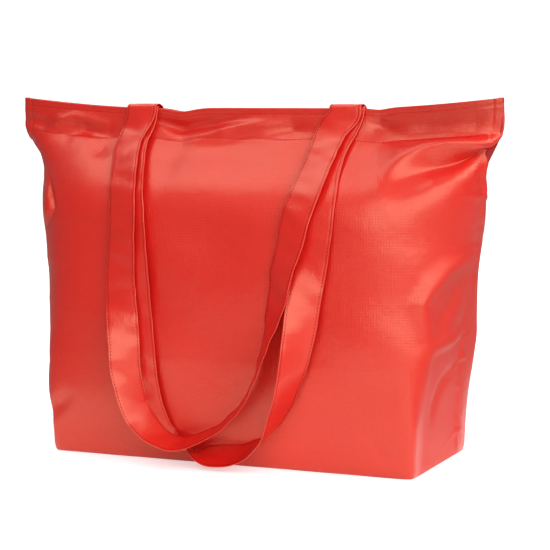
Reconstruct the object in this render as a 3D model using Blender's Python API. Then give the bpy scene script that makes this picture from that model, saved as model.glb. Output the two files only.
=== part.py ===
"""Foldable zip-top tote bag in thin nylon, filled and standing on its base.

Two body panels meet at the side seams and stand on a separate base panel. The top is a hem,
closed by a recessed zip, with ears at both ends. Two flat self-fabric handles come over the
top edge and hang down the front. The fabric is thinner than the walls that stand for it here.

Frame: origin on the floor under the middle of the base, +X to the viewer's right,
-Y to the viewer, +Z up. All sizes are in metres.
"""

import bpy
import bmesh
import math
import numpy as np

# Overall size of the filled bag
TOP_HEIGHT = 0.338
EAR_RISE = 0.010
EAR_HALF_WIDTH = 0.2505
BASE_HALF_WIDTH = 0.1855
SIDE_PUFF = 0.0594
PUFF_HEIGHT = 0.2167
BASE_DEPTH = 0.160
BODY_LEAN = -0.005
TOP_LEAN = -0.023
BULGE = 0.008
BULGE_TOP = 0.30

# How the round body closes to the flat top
HEM_HALF_DEPTH = 0.007
SEAM_SHIFT = 0.053
SEAM_SHIFT_HEIGHT = 0.25
SEAM_HALF_GAP = 0.0016
CLOSING_DEPTH = 0.068
CLOSING_POWER = 2.6
BASE_FADE = 0.080
EAR_BLEND_START = 0.2723
EAR_BLEND = 0.0433
EAR_START = 0.45
EAR_LIFT_START = 0.2
EAR_LIFT_POWER = 1.6
LEAN_FADE = 0.1
TOP_LEAN_START = 0.21
TOP_LEAN_RUN = 0.09

# Powers of the section's outline: the higher, the flatter the face and the squarer the corner
FACE_POWER = 7.5
HEM_FACE_POWER = 4.5
BASE_FACE_POWER = 40.0
SIDE_POWER = 1.0
BODY_SIDE_POWER = 0.8
BASE_SIDE_POWER = 40.0

# Layers of cloth at the top hem, outside to inside
GAP = 0.0003
PANEL = 0.0006
STRAP_END = 0.0010
FACING = 0.0006
ZIP_TAPE = 0.0004
HEM_HEIGHT = 0.029
HEM_LIP = 0.0008
FACING_HALF_LENGTH = 0.234
FACING_FOOT_LIFT = 0.75

# Zip
ZIP_HEIGHT = TOP_HEIGHT - 0.008
ZIP_HALF_LENGTH = 0.208
COIL_INNER = 0.0006
COIL_OUTER = 0.0020
COIL_HALF_HEIGHT = 0.0009
TAPE_INNER = 0.00235
TAPE_DROP = 0.009
TAPE_OVERRUN = 0.004
STOP_LENGTH = 0.0025
STOP_HALF_HEIGHT = 0.0011
SLIDER_REST_X = 0.198
SLIDER_HALF_LENGTH = 0.0045
SLIDER_HALF_WIDTH = 0.0028
SLIDER_HALF_GAP = 0.0013
SLIDER_PLATE = 0.0008
SLIDER_LIP = 0.0004
SLIDER_LIP_LIFT = 0.0005
WEDGE_HALF_WIDTH = 0.00035
BRIDGE_HALF_LENGTH = 0.0030
BRIDGE_WINDOW = 0.0016
BRIDGE_HALF_WIDTH = 0.0006
BRIDGE_CLEAR = 0.00065
BRIDGE_ROOF = 0.0009
PULL_LIFT = 0.00275
PULL_BAR = 0.00045
PULL_LENGTH = 0.020
PULL_HALF_WIDTH = 0.0019
PULL_ARM = 0.0008
PULL_CLEAR = 0.0012

# Handles
STRAP_WIDTH = 0.032
STRAP_THICKNESS = 0.0014
STRAP_AXIS_LIFT = 0.0014
FRONT_STANDOFF = 0.0018
REAR_STANDOFF = 0.0042
STRAP_STEP = 0.009
STRAP_LEVEL_RUN = 0.030
STRAP_END_LENGTH = 0.026

# Base, seam tapes and the pocket that the bag folds into
BASE_THICKNESS = 0.0007
BINDING = 0.0008
BINDING_DEPTH = 0.008
BINDING_LIFT = 0.0006
BINDING_CLEAR = 0.0012
SIDE_BINDING = 0.0010
SIDE_CLEAR = 0.0010
PANEL_COLUMNS = 37
POCKET_HALF_WIDTH = 0.080
POCKET_BOTTOM = 0.065
POCKET_TOP = 0.205
POCKET_CLOTH = 0.0006
POCKET_CLEAR = 0.0014
POCKET_HEM = 0.012

# Routes of the two handles on the front: across, height, turn of the ribbon, width share and clearance.
# Millimetres and degrees. The turn is 0 flat on the bag and 90 edge-on to it, and below 0 its outer edge comes forward.
FRONT_HANDLE_ROUTE = [
    (-112, 333, 0, 1.0, 0), (-113, 299, 8, 0.9, 0), (-104, 274, 12, 0.9, 0), (-94, 241, 12, 0.92, 1),
    (-90, 195, 8, 1.0, 2), (-87, 145, 0, 1.0, 3), (-83, 108, 0, 1.0, 3), (-81, 80, 0, 0.95, 3),
    (-77, 58, 0, 0.9, 3), (-70, 41, 0, 0.8, 2), (-58, 26, 0, 0.6, 1), (-38, 17, 48, 0.55, 1),
    (-17, 16, 106, 0.9, 2), (-1, 15.5, 114, 1.0, 2), (13, 17, 114, 1.0, 2), (26, 21, 110, 1.0, 2),
    (40, 29, 101, 1.0, 3), (53, 41, 89, 1.0, 4), (67, 65, 73, 1.0, 5), (77, 93, 61, 1.0, 5),
    (84, 128, 41, 1.0, 5), (87, 164, 18, 1.0, 4), (93, 209, 0, 1.0, 2), (96, 240, 0, 1.0, 1),
    (95, 258, 0, 1.0, 0), (92, 278, 0, 1.0, 0), (92, 298, 0, 1.0, 0), (103, 333, 0, 1.0, 0),
]
REAR_HANDLE_ROUTE = [
    (-113, 333, 0, 0.95, 0), (-119, 300, 20, 0.93, 0), (-111, 273, 24, 0.95, 0), (-103, 244, 24, 0.96, 1),
    (-102, 205, 16, 1.0, 2), (-102, 165, 0, 1.0, 4), (-99, 142, -12, 1.0, 5), (-94, 114, -27, 0.95, 6),
    (-92, 92, -40, 0.95, 6), (-88, 74, -50, 0.97, 6), (-82, 57, -58, 1.0, 6), (-71, 42, -69, 1.0, 6),
    (-58, 31, -78, 1.0, 5), (-40, 26, -82, 1.0, 4), (-21, 31, -82, 1.0, 3), (-4, 39, -80, 1.0, 2),
    (12, 51, -78, 1.0, 1), (26, 65, -75, 1.0, 1), (36, 80, -72, 1.0, 1), (45, 102, -67, 1.0, 1),
    (52, 123, -59, 1.0, 1), (58, 147, -46, 1.0, 1), (62, 164, -35, 1.0, 1), (65, 186, -29, 1.0, 1),
    (71, 209, -21, 1.0, 1), (76, 236, -11, 1.0, 1), (81, 256, -8, 1.0, 0), (84, 277, -7, 1.0, 0),
    (86, 297, -6, 1.0, 0), (89, 315, -3, 1.0, 0), (100, 333, 0, 1.0, 0),
]

# How each handle turns over the top edge: depth towards the rear and height from its hinge, in millimetres
FRONT_TURN = [(0.5, 0.0), (-0.6, 0.0), (-2.3, -0.35), (-2.8, -1.2), (-3.0, -2.6)]
REAR_TURN = [
    (0.5, 0.0), (-0.8, 0.0), (-3.0, 0.8), (-5.6, 1.9), (-10.7, 2.3), (-12.4, 2.1), (-14.8, 1.1), (-15.8, -0.4),
    (-16.4, -3.2),
]

RED = (0.75, 0.035, 0.028)
DARK_RED = (0.55, 0.02, 0.018)
ZIP_PAINT = (0.50, 0.018, 0.016)

FRONT = -1
REAR = 1


def smooth(t):
    """Ease from 0 to 1 with level ends."""
    t = np.clip(t, 0.0, 1.0)
    return t * t * (3.0 - 2.0 * t)


def section(z, side):
    """Half width, the panel's depth, the two corner powers and the side seam's place at height z."""
    below_top = np.maximum(TOP_HEIGHT - z, 0.0)
    full = 1.0 - np.exp(-(below_top / CLOSING_DEPTH) ** CLOSING_POWER)
    low = np.exp(-(z / BASE_FADE) ** 2)
    body = BASE_HALF_WIDTH + SIDE_PUFF * (1.0 - np.exp(-(z / PUFF_HEIGHT) ** 2))
    ear = smooth((z - EAR_BLEND_START) / EAR_BLEND)
    half_width = body + (EAR_HALF_WIDTH - body) * ear
    belly = BASE_DEPTH / 2 + BULGE * np.sin(np.pi * np.clip(z / BULGE_TOP, 0.0, 1.0))
    half_depth = HEM_HALF_DEPTH - SEAM_HALF_GAP + (belly - HEM_HALF_DEPTH) * full
    flat_power = FACE_POWER + HEM_FACE_POWER * (1.0 - full) + BASE_FACE_POWER * low
    side_power = SIDE_POWER + BODY_SIDE_POWER * full + BASE_SIDE_POWER * low
    leaning = smooth((z - TOP_LEAN_START) / TOP_LEAN_RUN)
    centre = BODY_LEAN * np.minimum(z / LEAN_FADE, 1.0) + (TOP_LEAN - BODY_LEAN) * leaning
    shift = SEAM_SHIFT * (1.0 - smooth(z / SEAM_SHIFT_HEIGHT))
    return half_width, half_depth - side * shift, flat_power, side_power, centre + shift


def ear_lift(x, z):
    """How far the top edge rises towards the ears."""
    outward = np.clip((np.abs(x) / EAR_HALF_WIDTH - EAR_START) / (1.0 - EAR_START), 0.0, 1.0)
    upward = np.clip((z - EAR_LIFT_START) / (TOP_HEIGHT - EAR_LIFT_START), 0.0, 1.0)
    return EAR_RISE * outward ** EAR_LIFT_POWER * upward


def wall_y(side, x, z):
    """The outer face of the front or rear panel, at any point clear of the side seams."""
    z = np.clip(z - ear_lift(x, z), 0.0, TOP_HEIGHT)
    half_width, depth, flat_power, side_power, seam = section(z, side)
    across = np.clip(np.abs(x) / half_width, 0.0, 1.0)
    swell = depth * (1.0 - across ** flat_power) ** (1.0 / side_power)
    return seam + side * (SEAM_HALF_GAP + swell)


def wall_normal(side, x, z):
    """Unit normal of that face, pointing out of the bag."""
    step = 0.0005
    z = np.minimum(z, TOP_HEIGHT - step)
    slope_x = (wall_y(side, x + step, z) - wall_y(side, x - step, z)) / (2 * step)
    slope_z = (wall_y(side, x, z + step) - wall_y(side, x, z - step)) / (2 * step)
    normal = np.stack([-slope_x, np.ones_like(slope_x), -slope_z], axis=-1) * side
    return normal / np.linalg.norm(normal, axis=-1, keepdims=True)


def inside_wall(side, x, z, inset):
    """A point at height z, the given distance inside the panel's outer face."""
    x, z = np.broadcast_arrays(np.asarray(x, float), np.asarray(z, float))
    facing_z = z
    for _ in range(3):
        normal = wall_normal(side, x, facing_z)
        facing_z = z + normal[..., 2] * inset
    outer = np.stack([x, wall_y(side, x, facing_z), facing_z], axis=-1)
    return outer - normal * inset


def section_outline(z, side, count):
    """One half of the bag's outline at height z, seam to seam, in even steps of cloth."""
    half_width, depth, flat_power, side_power, seam = section(z, side)
    cosine = np.cos(np.linspace(0.0, math.pi, 600))
    sine = np.sqrt(1.0 - cosine ** 2)
    x = -half_width * np.sign(cosine) * np.abs(cosine) ** (2.0 / flat_power)
    y = SEAM_HALF_GAP + depth * sine ** (2.0 / side_power)
    run = np.concatenate([[0.0], np.cumsum(np.hypot(np.diff(x), np.diff(y)))])
    even = np.linspace(0.0, run[-1], count)
    x, y = np.interp(even, run, x), np.interp(even, run, y)
    return np.stack([x, seam + side * y, z + ear_lift(x, z)], axis=-1)


def material(name, colour, roughness, metallic=0.0):
    """A plain finish with the given colour."""
    finish = bpy.data.materials.new(name)
    finish.use_nodes = True
    shader = finish.node_tree.nodes["Principled BSDF"]
    shader.inputs["Base Color"].default_value = (*colour, 1.0)
    shader.inputs["Roughness"].default_value = roughness
    shader.inputs["Metallic"].default_value = metallic
    return finish


def piece(name, points, faces, finish, parent=None):
    """A named object, with its faces turned outwards, set on its parent's axis if it has one."""
    offset = parent.matrix_world.translation if parent else (0.0, 0.0, 0.0)
    mesh = bpy.data.meshes.new(name)
    mesh.from_pydata((np.asarray(points) - np.asarray(offset)).tolist(), [], faces)
    work = bmesh.new()
    work.from_mesh(mesh)
    bmesh.ops.recalc_face_normals(work, faces=work.faces)
    work.to_mesh(mesh)
    work.free()
    mesh.materials.append(finish)
    thing = bpy.data.objects.new(name, mesh)
    bpy.context.collection.objects.link(thing)
    thing.parent = parent
    return thing


def grid_faces(rows, columns, closed=False):
    """Quads of a grid of points, closed round its columns if asked."""
    last = columns if closed else columns - 1
    faces = []
    for row in range(rows - 1):
        for column in range(last):
            beside = (column + 1) % columns
            low, high = row * columns, (row + 1) * columns
            faces.append((low + column, low + beside, high + beside, high + column))
    return faces


def cloth(name, grid, thickness, finish, closed=False):
    """A strip of cloth of even thickness about a grid of points in rows."""
    rows, columns = grid.shape[:2]
    faces = grid_faces(rows, columns, closed)
    thing = piece(name, grid.reshape(-1, 3), faces, finish)
    solid = thing.modifiers.new("thickness", "SOLIDIFY")
    solid.thickness = thickness
    solid.offset = 0.0
    solid.use_even_offset = True
    thing.data.shade_smooth()
    return thing


def layer(name, side, across, heights, inset, thickness, finish):
    """A strip lying inside a panel, its middle at the given depth from the panel's outer face."""
    x, z = np.meshgrid(across, heights)
    return cloth(name, inside_wall(side, x, z, inset), thickness, finish)


def empty(name, place):
    """A point that a moving piece turns or slides about."""
    thing = bpy.data.objects.new(name, None)
    thing.location = place
    bpy.context.collection.objects.link(thing)
    bpy.context.view_layer.update()
    return thing


def block(name, boxes, finish, parent=None):
    """One closed solid from boxes that share faces or overlap, each (low corner, high corner)."""
    boxes = np.asarray(boxes, float)
    edges = [np.unique(np.round(boxes[:, :, axis], 7)) for axis in range(3)]
    middles = [(edge[1:] + edge[:-1]) / 2 for edge in edges]
    mid = np.stack(np.meshgrid(*middles, indexing="ij"), axis=-1)
    filled = np.zeros(mid.shape[:3], bool)
    for low, high in boxes:
        filled |= np.all((mid > low) & (mid < high), axis=-1)
    filled = np.pad(filled, 1)
    points, faces, index = [], [], {}

    def corner(cell):
        if cell not in index:
            index[cell] = len(points)
            points.append([edges[axis][cell[axis]] for axis in range(3)])
        return index[cell]

    for cell in zip(*np.nonzero(filled)):
        for axis in range(3):
            for end in (0, 1):
                beside = list(cell)
                beside[axis] += 2 * end - 1
                if filled[tuple(beside)]:
                    continue
                first, second = (axis + 1) % 3, (axis + 2) % 3
                loop = []
                for a, b in ((0, 0), (1, 0), (1, 1), (0, 1)):
                    spot = [int(value) - 1 for value in cell]
                    spot[axis] += end
                    spot[first] += a
                    spot[second] += b
                    loop.append(corner(tuple(spot)))
                faces.append(loop)
    return piece(name, points, faces, finish, parent)


def make_panels(cloth_finish):
    """The front and rear panels, from the base edge to the top edge."""
    heights = [BASE_THICKNESS + GAP, 0.014, 0.035, 0.065, 0.10, 0.14, 0.18, 0.212, 0.24, 0.26, 0.274, 0.286,
               0.296, 0.305, 0.313, 0.321, 0.329, TOP_HEIGHT]
    columns = PANEL_COLUMNS
    for name, side in (("front_panel", FRONT), ("rear_panel", REAR)):
        grid = np.array([section_outline(z, side, columns) for z in heights])
        thing = cloth(name, grid, PANEL, cloth_finish)
        middle = thing.data.polygons[columns // 2 + 5 * (columns - 1)]
        outward = math.copysign(1.0, middle.normal.y) == side
        thing.modifiers["thickness"].offset = -1.0 if outward else 1.0


def inset_loop(z, inset, count):
    """The whole outline at height z, moved in by the given distance."""
    front = section_outline(z, FRONT, count)
    rear = section_outline(z, REAR, count)[::-1]
    loop = np.concatenate([front, rear])[:, :2]
    along = np.roll(loop, -1, axis=0) - np.roll(loop, 1, axis=0)
    inward = np.stack([-along[:, 1], along[:, 0]], axis=-1)
    return loop + inward / np.linalg.norm(inward, axis=1, keepdims=True) * inset


def make_base(cloth_finish, tape_finish):
    """The base panel, with the bound seam that stands round its edge inside the bag."""
    count = PANEL_COLUMNS
    outline = inset_loop(0.0, PANEL, count)
    total = len(outline)
    points = [(x, y, 0.0) for x, y in outline] + [(x, y, BASE_THICKNESS) for x, y in outline]
    faces = [tuple(range(total)), tuple(range(2 * total - 1, total - 1, -1))]
    for index in range(total):
        beside = (index + 1) % total
        faces.append((index, beside, total + beside, total + index))
    piece("base_panel", points, faces, cloth_finish)
    rows = []
    for z in (BASE_THICKNESS + BINDING_LIFT, BASE_THICKNESS + BINDING_DEPTH):
        loop = inset_loop(z, PANEL + BINDING_CLEAR + BINDING / 2, count)
        rows.append(np.column_stack([loop, np.full(total, z)]))
    cloth("base_seam_binding", np.array(rows), BINDING, tape_finish, closed=True)


def make_side_bindings(tape_finish):
    """The bound seam allowances, which stand in from the side seams."""
    heights = np.array([0.013, 0.06, 0.11, 0.16, 0.21, 0.245, 0.265, 0.285, 0.305, 0.322])
    half_width, _, _, _, seam = section(heights, REAR)
    for name, end in (("left_side_binding", -1), ("right_side_binding", 1)):
        outer = end * (half_width - SIDE_CLEAR)
        inner = end * (half_width - SIDE_CLEAR - BINDING_DEPTH)
        lift = ear_lift(outer, heights)
        grid = np.stack([np.column_stack([x, seam, heights + lift]) for x in (outer, inner)], axis=1)
        cloth(name, grid, SIDE_BINDING, tape_finish)


def make_hem(cloth_finish, tape_finish):
    """The hem facings, the sewn ends of the handles and the zip tapes, one layer inside another."""
    strap_inset = PANEL + GAP + STRAP_END / 2
    facing_inset = PANEL + 2 * GAP + STRAP_END + FACING / 2
    tape_inset = PANEL + 3 * GAP + STRAP_END + FACING + ZIP_TAPE / 2
    across = np.linspace(-FACING_HALF_LENGTH, FACING_HALF_LENGTH, 37)
    zip_across = np.linspace(-ZIP_HALF_LENGTH - TAPE_OVERRUN, ZIP_HALF_LENGTH + TAPE_OVERRUN, 33)
    for word, side, route in (("front", FRONT, FRONT_HANDLE_ROUTE), ("rear", REAR, REAR_HANDLE_ROUTE)):
        lift = ear_lift(across, TOP_HEIGHT)
        heights = np.linspace(TOP_HEIGHT - HEM_LIP, TOP_HEIGHT - HEM_HEIGHT, 7)
        x = np.broadcast_to(across, (len(heights), len(across)))
        share = np.linspace(1.0, FACING_FOOT_LIFT, len(heights))
        z = heights[:, None] + share[:, None] * lift
        cloth(word + "_hem_facing", inside_wall(side, x, z, facing_inset), FACING, cloth_finish)

        for hand, stop in (("left", route[0]), ("right", route[-1])):
            middle = stop[0] / 1000
            half = STRAP_WIDTH / 2
            rows = np.linspace(TOP_HEIGHT - HEM_LIP, TOP_HEIGHT - STRAP_END_LENGTH, 6)
            columns = np.linspace(middle - half, middle + half, 4)
            layer(f"{word}_handle_{hand}_end", side, columns, rows, strap_inset, STRAP_END, cloth_finish)

        rows = np.linspace(ZIP_HEIGHT, ZIP_HEIGHT - TAPE_DROP, 4)
        x, z = np.meshgrid(zip_across, rows)
        leg = inside_wall(side, x, z, tape_inset)
        flange = leg[0].copy()
        flange[:, 1] = TOP_LEAN + side * TAPE_INNER
        flange[:, 2] = leg[0, :, 2]
        cloth(word + "_zip_tape", np.concatenate([flange[None], leg]), ZIP_TAPE, tape_finish)


def make_zip(tape_finish, metal_finish):
    """Coils, end stops, slider and pull tab. The coils leave a slot for the slider's wedge."""
    y, z = TOP_LEAN, ZIP_HEIGHT
    for word, side in (("front", FRONT), ("rear", REAR)):
        sides = sorted((y + side * COIL_INNER, y + side * COIL_OUTER))
        low = (-ZIP_HALF_LENGTH, sides[0], z - COIL_HALF_HEIGHT)
        high = (ZIP_HALF_LENGTH, sides[1], z + COIL_HALF_HEIGHT)
        block(word + "_zip_coil", [(low, high)], tape_finish)
    for word, end in (("left", -1), ("right", 1)):
        near = end * (ZIP_HALF_LENGTH + GAP)
        ends = sorted((near, near + end * STOP_LENGTH))
        low = (ends[0], y - COIL_OUTER, z - STOP_HALF_HEIGHT)
        high = (ends[1], y + COIL_OUTER, z + STOP_HALF_HEIGHT)
        block(f"{word}_zip_stop", [(low, high)], metal_finish)

    carriage = empty("zip_slider_axis", (SLIDER_REST_X, y, z))
    left, right = SLIDER_REST_X - SLIDER_HALF_LENGTH, SLIDER_REST_X + SLIDER_HALF_LENGTH
    plate_top = z + SLIDER_HALF_GAP + SLIDER_PLATE
    boxes = [((left, y - WEDGE_HALF_WIDTH, z - SLIDER_HALF_GAP),
              (right, y + WEDGE_HALF_WIDTH, z + SLIDER_HALF_GAP))]
    for level in (z - SLIDER_HALF_GAP - SLIDER_PLATE, z + SLIDER_HALF_GAP):
        low = (left, y - SLIDER_HALF_WIDTH, level)
        boxes.append((low, (right, y + SLIDER_HALF_WIDTH, level + SLIDER_PLATE)))
    for side in (FRONT, REAR):
        lip = sorted((y + side * (SLIDER_HALF_WIDTH - SLIDER_LIP), y + side * SLIDER_HALF_WIDTH))
        boxes.append(((left, lip[0], z + SLIDER_LIP_LIFT), (right, lip[1], z + SLIDER_HALF_GAP)))
    bridge_low, bridge_high = y - BRIDGE_HALF_WIDTH, y + BRIDGE_HALF_WIDTH
    roof = z + PULL_LIFT + BRIDGE_CLEAR
    for end in (-1, 1):
        foot = sorted((SLIDER_REST_X + end * BRIDGE_WINDOW, SLIDER_REST_X + end * BRIDGE_HALF_LENGTH))
        boxes.append(((foot[0], bridge_low, plate_top), (foot[1], bridge_high, roof)))
    boxes.append(((SLIDER_REST_X - BRIDGE_HALF_LENGTH, bridge_low, roof),
                  (SLIDER_REST_X + BRIDGE_HALF_LENGTH, bridge_high, roof + BRIDGE_ROOF)))
    block("zip_slider", boxes, metal_finish, carriage)

    pivot = empty("zip_pull_axis", (SLIDER_REST_X, y, z + PULL_LIFT))
    low, high = z + PULL_LIFT - PULL_BAR, z + PULL_LIFT + PULL_BAR
    tab_start = SLIDER_REST_X - BRIDGE_HALF_LENGTH - PULL_CLEAR
    boxes = [((SLIDER_REST_X - PULL_BAR, y - PULL_HALF_WIDTH, low),
              (SLIDER_REST_X + PULL_BAR, y + PULL_HALF_WIDTH, high)),
             ((SLIDER_REST_X - PULL_LENGTH, y - PULL_HALF_WIDTH, low), (tab_start, y + PULL_HALF_WIDTH, high))]
    for side in (FRONT, REAR):
        arm = sorted((y + side * (PULL_HALF_WIDTH - PULL_ARM), y + side * PULL_HALF_WIDTH))
        boxes.append(((tab_start, arm[0], low), (SLIDER_REST_X + PULL_BAR, arm[1], high)))
    block("zip_pull_tab", boxes, metal_finish, pivot)


def strap_axis(side, x):
    """Where a handle turns: on the top edge, over the layer that its ends are sewn into."""
    inset = PANEL + GAP + STRAP_END / 2
    return float(wall_y(side, x, TOP_HEIGHT)) - side * inset, TOP_HEIGHT + STRAP_AXIS_LIFT


def route_points(route, standoff):
    """Points along a handle where it lies on the front, with each point's ribbon direction."""
    knots = np.array(route, float)
    knots[:, [0, 1, 4]] /= 1000
    chord = np.concatenate([[0.0], np.cumsum(np.linalg.norm(np.diff(knots[:, :2], axis=0), axis=1))])
    tangent = np.gradient(knots, chord, axis=0)
    spots = np.linspace(0.0, chord[-1], int(chord[-1] / STRAP_STEP) + 1)
    span = np.clip(np.searchsorted(chord, spots, side="right") - 1, 0, len(chord) - 2)
    length = (chord[span + 1] - chord[span])[:, None]
    t = ((spots - chord[span]) / length[:, 0])[:, None]
    start, end = knots[span], knots[span + 1]
    curve = ((2 * t ** 3 - 3 * t ** 2 + 1) * start + (t ** 3 - 2 * t ** 2 + t) * length * tangent[span]
             + (3 * t ** 2 - 2 * t ** 3) * end + (t ** 3 - t ** 2) * length * tangent[span + 1])
    x, z, clearance = curve[:, 0], curve[:, 1], curve[:, 4]
    turn, width = np.radians(curve[:, 2]), STRAP_WIDTH * np.minimum(curve[:, 3], 1.0)
    normal = wall_normal(FRONT, x, z)
    place = np.column_stack([x, wall_y(FRONT, x, z), z])
    place = place + normal * (standoff + clearance + width / 2 * np.abs(np.sin(turn)))[:, None]
    along = np.gradient(place, axis=0)
    along /= np.linalg.norm(along, axis=1, keepdims=True)
    outer = np.cross(along, normal)
    outer /= np.linalg.norm(outer, axis=1, keepdims=True)
    near_end = smooth(np.minimum(spots, spots[-1] - spots) / STRAP_LEVEL_RUN)[:, None]
    level = np.where(spots < spots[-1] / 2, -1.0, 1.0)[:, None] * np.array([1.0, 0.0, 0.0])
    outer = outer * near_end + level * (1.0 - near_end)
    outer /= np.linalg.norm(outer, axis=1, keepdims=True)
    edge = outer * np.cos(turn)[:, None] - normal * np.sin(turn)[:, None]
    return place, edge, width / np.sqrt(1.0 - np.sum(edge * along, axis=1) ** 2)


def make_handle(name, side, route, standoff, turn, cloth_finish):
    """A flat handle from its turn over the top edge, down the front and round its hanging loop."""
    place, edge, width = route_points(route, standoff)
    left, right = route[0][0] / 1000, route[-1][0] / 1000
    axis_y, axis_z = strap_axis(side, left)
    ends = []
    for x in (left, right):
        ends.append(np.array([(x, axis_y + y / 1000, axis_z + z / 1000) for y, z in turn]))
    place = np.concatenate([ends[0], place, ends[1][::-1]])
    count = len(turn)
    edge = np.concatenate([np.tile((-1.0, 0, 0), (count, 1)), edge, np.tile((1.0, 0, 0), (count, 1))])
    width = np.concatenate([np.full(count, STRAP_WIDTH), width, np.full(count, STRAP_WIDTH)])
    along = np.gradient(place, axis=0)
    face = np.cross(along, edge)
    face /= np.linalg.norm(face, axis=1, keepdims=True)
    across = edge * width[:, None] / 2
    deep = face * STRAP_THICKNESS / 2
    rings = np.stack([place + across + deep, place - across + deep, place - across - deep,
                      place + across - deep], axis=1)
    total = len(rings)
    faces = grid_faces(total, 4, closed=True)
    faces += [(3, 2, 1, 0), tuple(4 * (total - 1) + index for index in range(4))]
    hinge = empty(name + "_axis", (0.0, axis_y, axis_z))
    thing = piece(name, rings.reshape(-1, 3), faces, cloth_finish, hinge)
    thing.data.shade_smooth()
    thing.data.set_sharp_from_angle(angle=math.radians(40))


def make_handles(cloth_finish):
    """The front handle lies on the bag, and the rear one crosses the top edge and lies over it."""
    make_handle("front_handle", FRONT, FRONT_HANDLE_ROUTE, FRONT_STANDOFF, FRONT_TURN, cloth_finish)
    make_handle("rear_handle", REAR, REAR_HANDLE_ROUTE, REAR_STANDOFF, REAR_TURN, cloth_finish)


def make_pocket(cloth_finish, tape_finish):
    """The flat pocket inside the rear panel that the empty bag folds into, with its bound mouth."""
    across = np.linspace(-POCKET_HALF_WIDTH, POCKET_HALF_WIDTH, 11)
    inset = PANEL + POCKET_CLEAR + POCKET_CLOTH / 2
    heights = np.linspace(POCKET_BOTTOM, POCKET_TOP, 9)
    layer("stow_pocket", REAR, across, heights, inset, POCKET_CLOTH, cloth_finish)
    hem_inset = inset + POCKET_CLOTH + 2 * GAP
    heights = np.linspace(POCKET_TOP - POCKET_HEM, POCKET_TOP, 3)
    layer("stow_pocket_binding", REAR, across, heights, hem_inset, POCKET_CLOTH, tape_finish)


def main():
    for thing in list(bpy.data.objects):
        bpy.data.objects.remove(thing, do_unlink=True)
    cloth_finish = material("red_nylon", RED, 0.45)
    tape_finish = material("red_tape", DARK_RED, 0.6)
    metal_finish = material("painted_metal", ZIP_PAINT, 0.35, 0.4)
    make_panels(cloth_finish)
    make_base(cloth_finish, tape_finish)
    make_side_bindings(tape_finish)
    make_hem(cloth_finish, tape_finish)
    make_zip(tape_finish, metal_finish)
    make_handles(cloth_finish)
    make_pocket(cloth_finish, tape_finish)


main()
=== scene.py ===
"""Foldable zip-top tote bag in red ripstop nylon, filled and standing, its handles hanging down the front.

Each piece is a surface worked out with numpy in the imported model's frame, in metres: +X to the viewer's
right, -Y towards the viewer, +Z up, with the origin on the floor under the middle of the base.
"""

import math
import bpy
import numpy as np
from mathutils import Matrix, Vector


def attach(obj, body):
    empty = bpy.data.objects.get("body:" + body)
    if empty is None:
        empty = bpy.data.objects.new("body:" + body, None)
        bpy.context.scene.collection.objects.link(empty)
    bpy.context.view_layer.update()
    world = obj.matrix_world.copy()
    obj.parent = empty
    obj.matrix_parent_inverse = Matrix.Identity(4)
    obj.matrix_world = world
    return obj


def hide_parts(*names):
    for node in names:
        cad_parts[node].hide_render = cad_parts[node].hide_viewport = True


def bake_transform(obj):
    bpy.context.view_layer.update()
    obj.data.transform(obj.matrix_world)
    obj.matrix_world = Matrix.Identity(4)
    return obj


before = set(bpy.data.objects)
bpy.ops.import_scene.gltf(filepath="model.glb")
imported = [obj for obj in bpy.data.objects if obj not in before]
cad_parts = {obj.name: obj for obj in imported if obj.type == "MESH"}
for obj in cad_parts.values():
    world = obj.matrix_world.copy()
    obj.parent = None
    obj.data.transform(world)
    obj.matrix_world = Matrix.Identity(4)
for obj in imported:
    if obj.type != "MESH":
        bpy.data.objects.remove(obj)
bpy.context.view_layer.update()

FRONT = -1
REAR = 1
SIDES = (("front", FRONT), ("rear", REAR))
UP = np.array([0.0, 0.0, 1.0])
RIGHT = np.array([1.0, 0.0, 0.0])

# The filled shape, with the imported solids' own values
TOP_HEIGHT = 0.338
EAR_RISE = 0.010
EAR_HALF_WIDTH = 0.2505
BASE_HALF_WIDTH = 0.1855
SIDE_PUFF = 0.0594
PUFF_HEIGHT = 0.2167
BASE_DEPTH = 0.160
BODY_LEAN = -0.005
LEAN_FADE = 0.1
TOP_LEAN = -0.023
TOP_LEAN_START = 0.21
TOP_LEAN_RUN = 0.09
BULGE = 0.008
BULGE_TOP = 0.30
HEM_HALF_DEPTH = 0.007
SEAM_HALF_GAP = 0.0016
SEAM_SHIFT = 0.053
SEAM_SHIFT_HEIGHT = 0.25
CLOSING_DEPTH = 0.068
CLOSING_POWER = 2.6
BASE_FADE = 0.080
EAR_BLEND_START = 0.2723
EAR_BLEND = 0.0433
EAR_START = 0.45
EAR_LIFT_START = 0.2
EAR_LIFT_POWER = 1.6

# Powers of the section's outline: the higher, the flatter the face and the squarer the corner
FACE_POWER = 7.5
HEM_FACE_POWER = 4.5
SIDE_POWER = 1.0
BODY_SIDE_POWER = 0.8
BASE_POWER = 40.0

# Dips of the top edge beside the handles: depth, place across and width
HEM_SAGS = [(0.0036, -0.072, 0.017), (0.0018, 0.131, 0.012)]

# The left side as it is filled: height, and how far it stands in from the right side's shape, in millimetres
LEFT_DRAW = [
    (0, -6), (30, -6), (60, -4.5), (90, -1), (120, -2), (150, -5.5), (165, -6), (190, -6), (210, -2),
    (228, 1), (245, 4.2), (264, 6.2), (283, 4.7), (300, 2), (312, 0),
]
LEFT_DRAW_START = 0.12
LEFT_DRAW_RUN = 0.07

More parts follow.
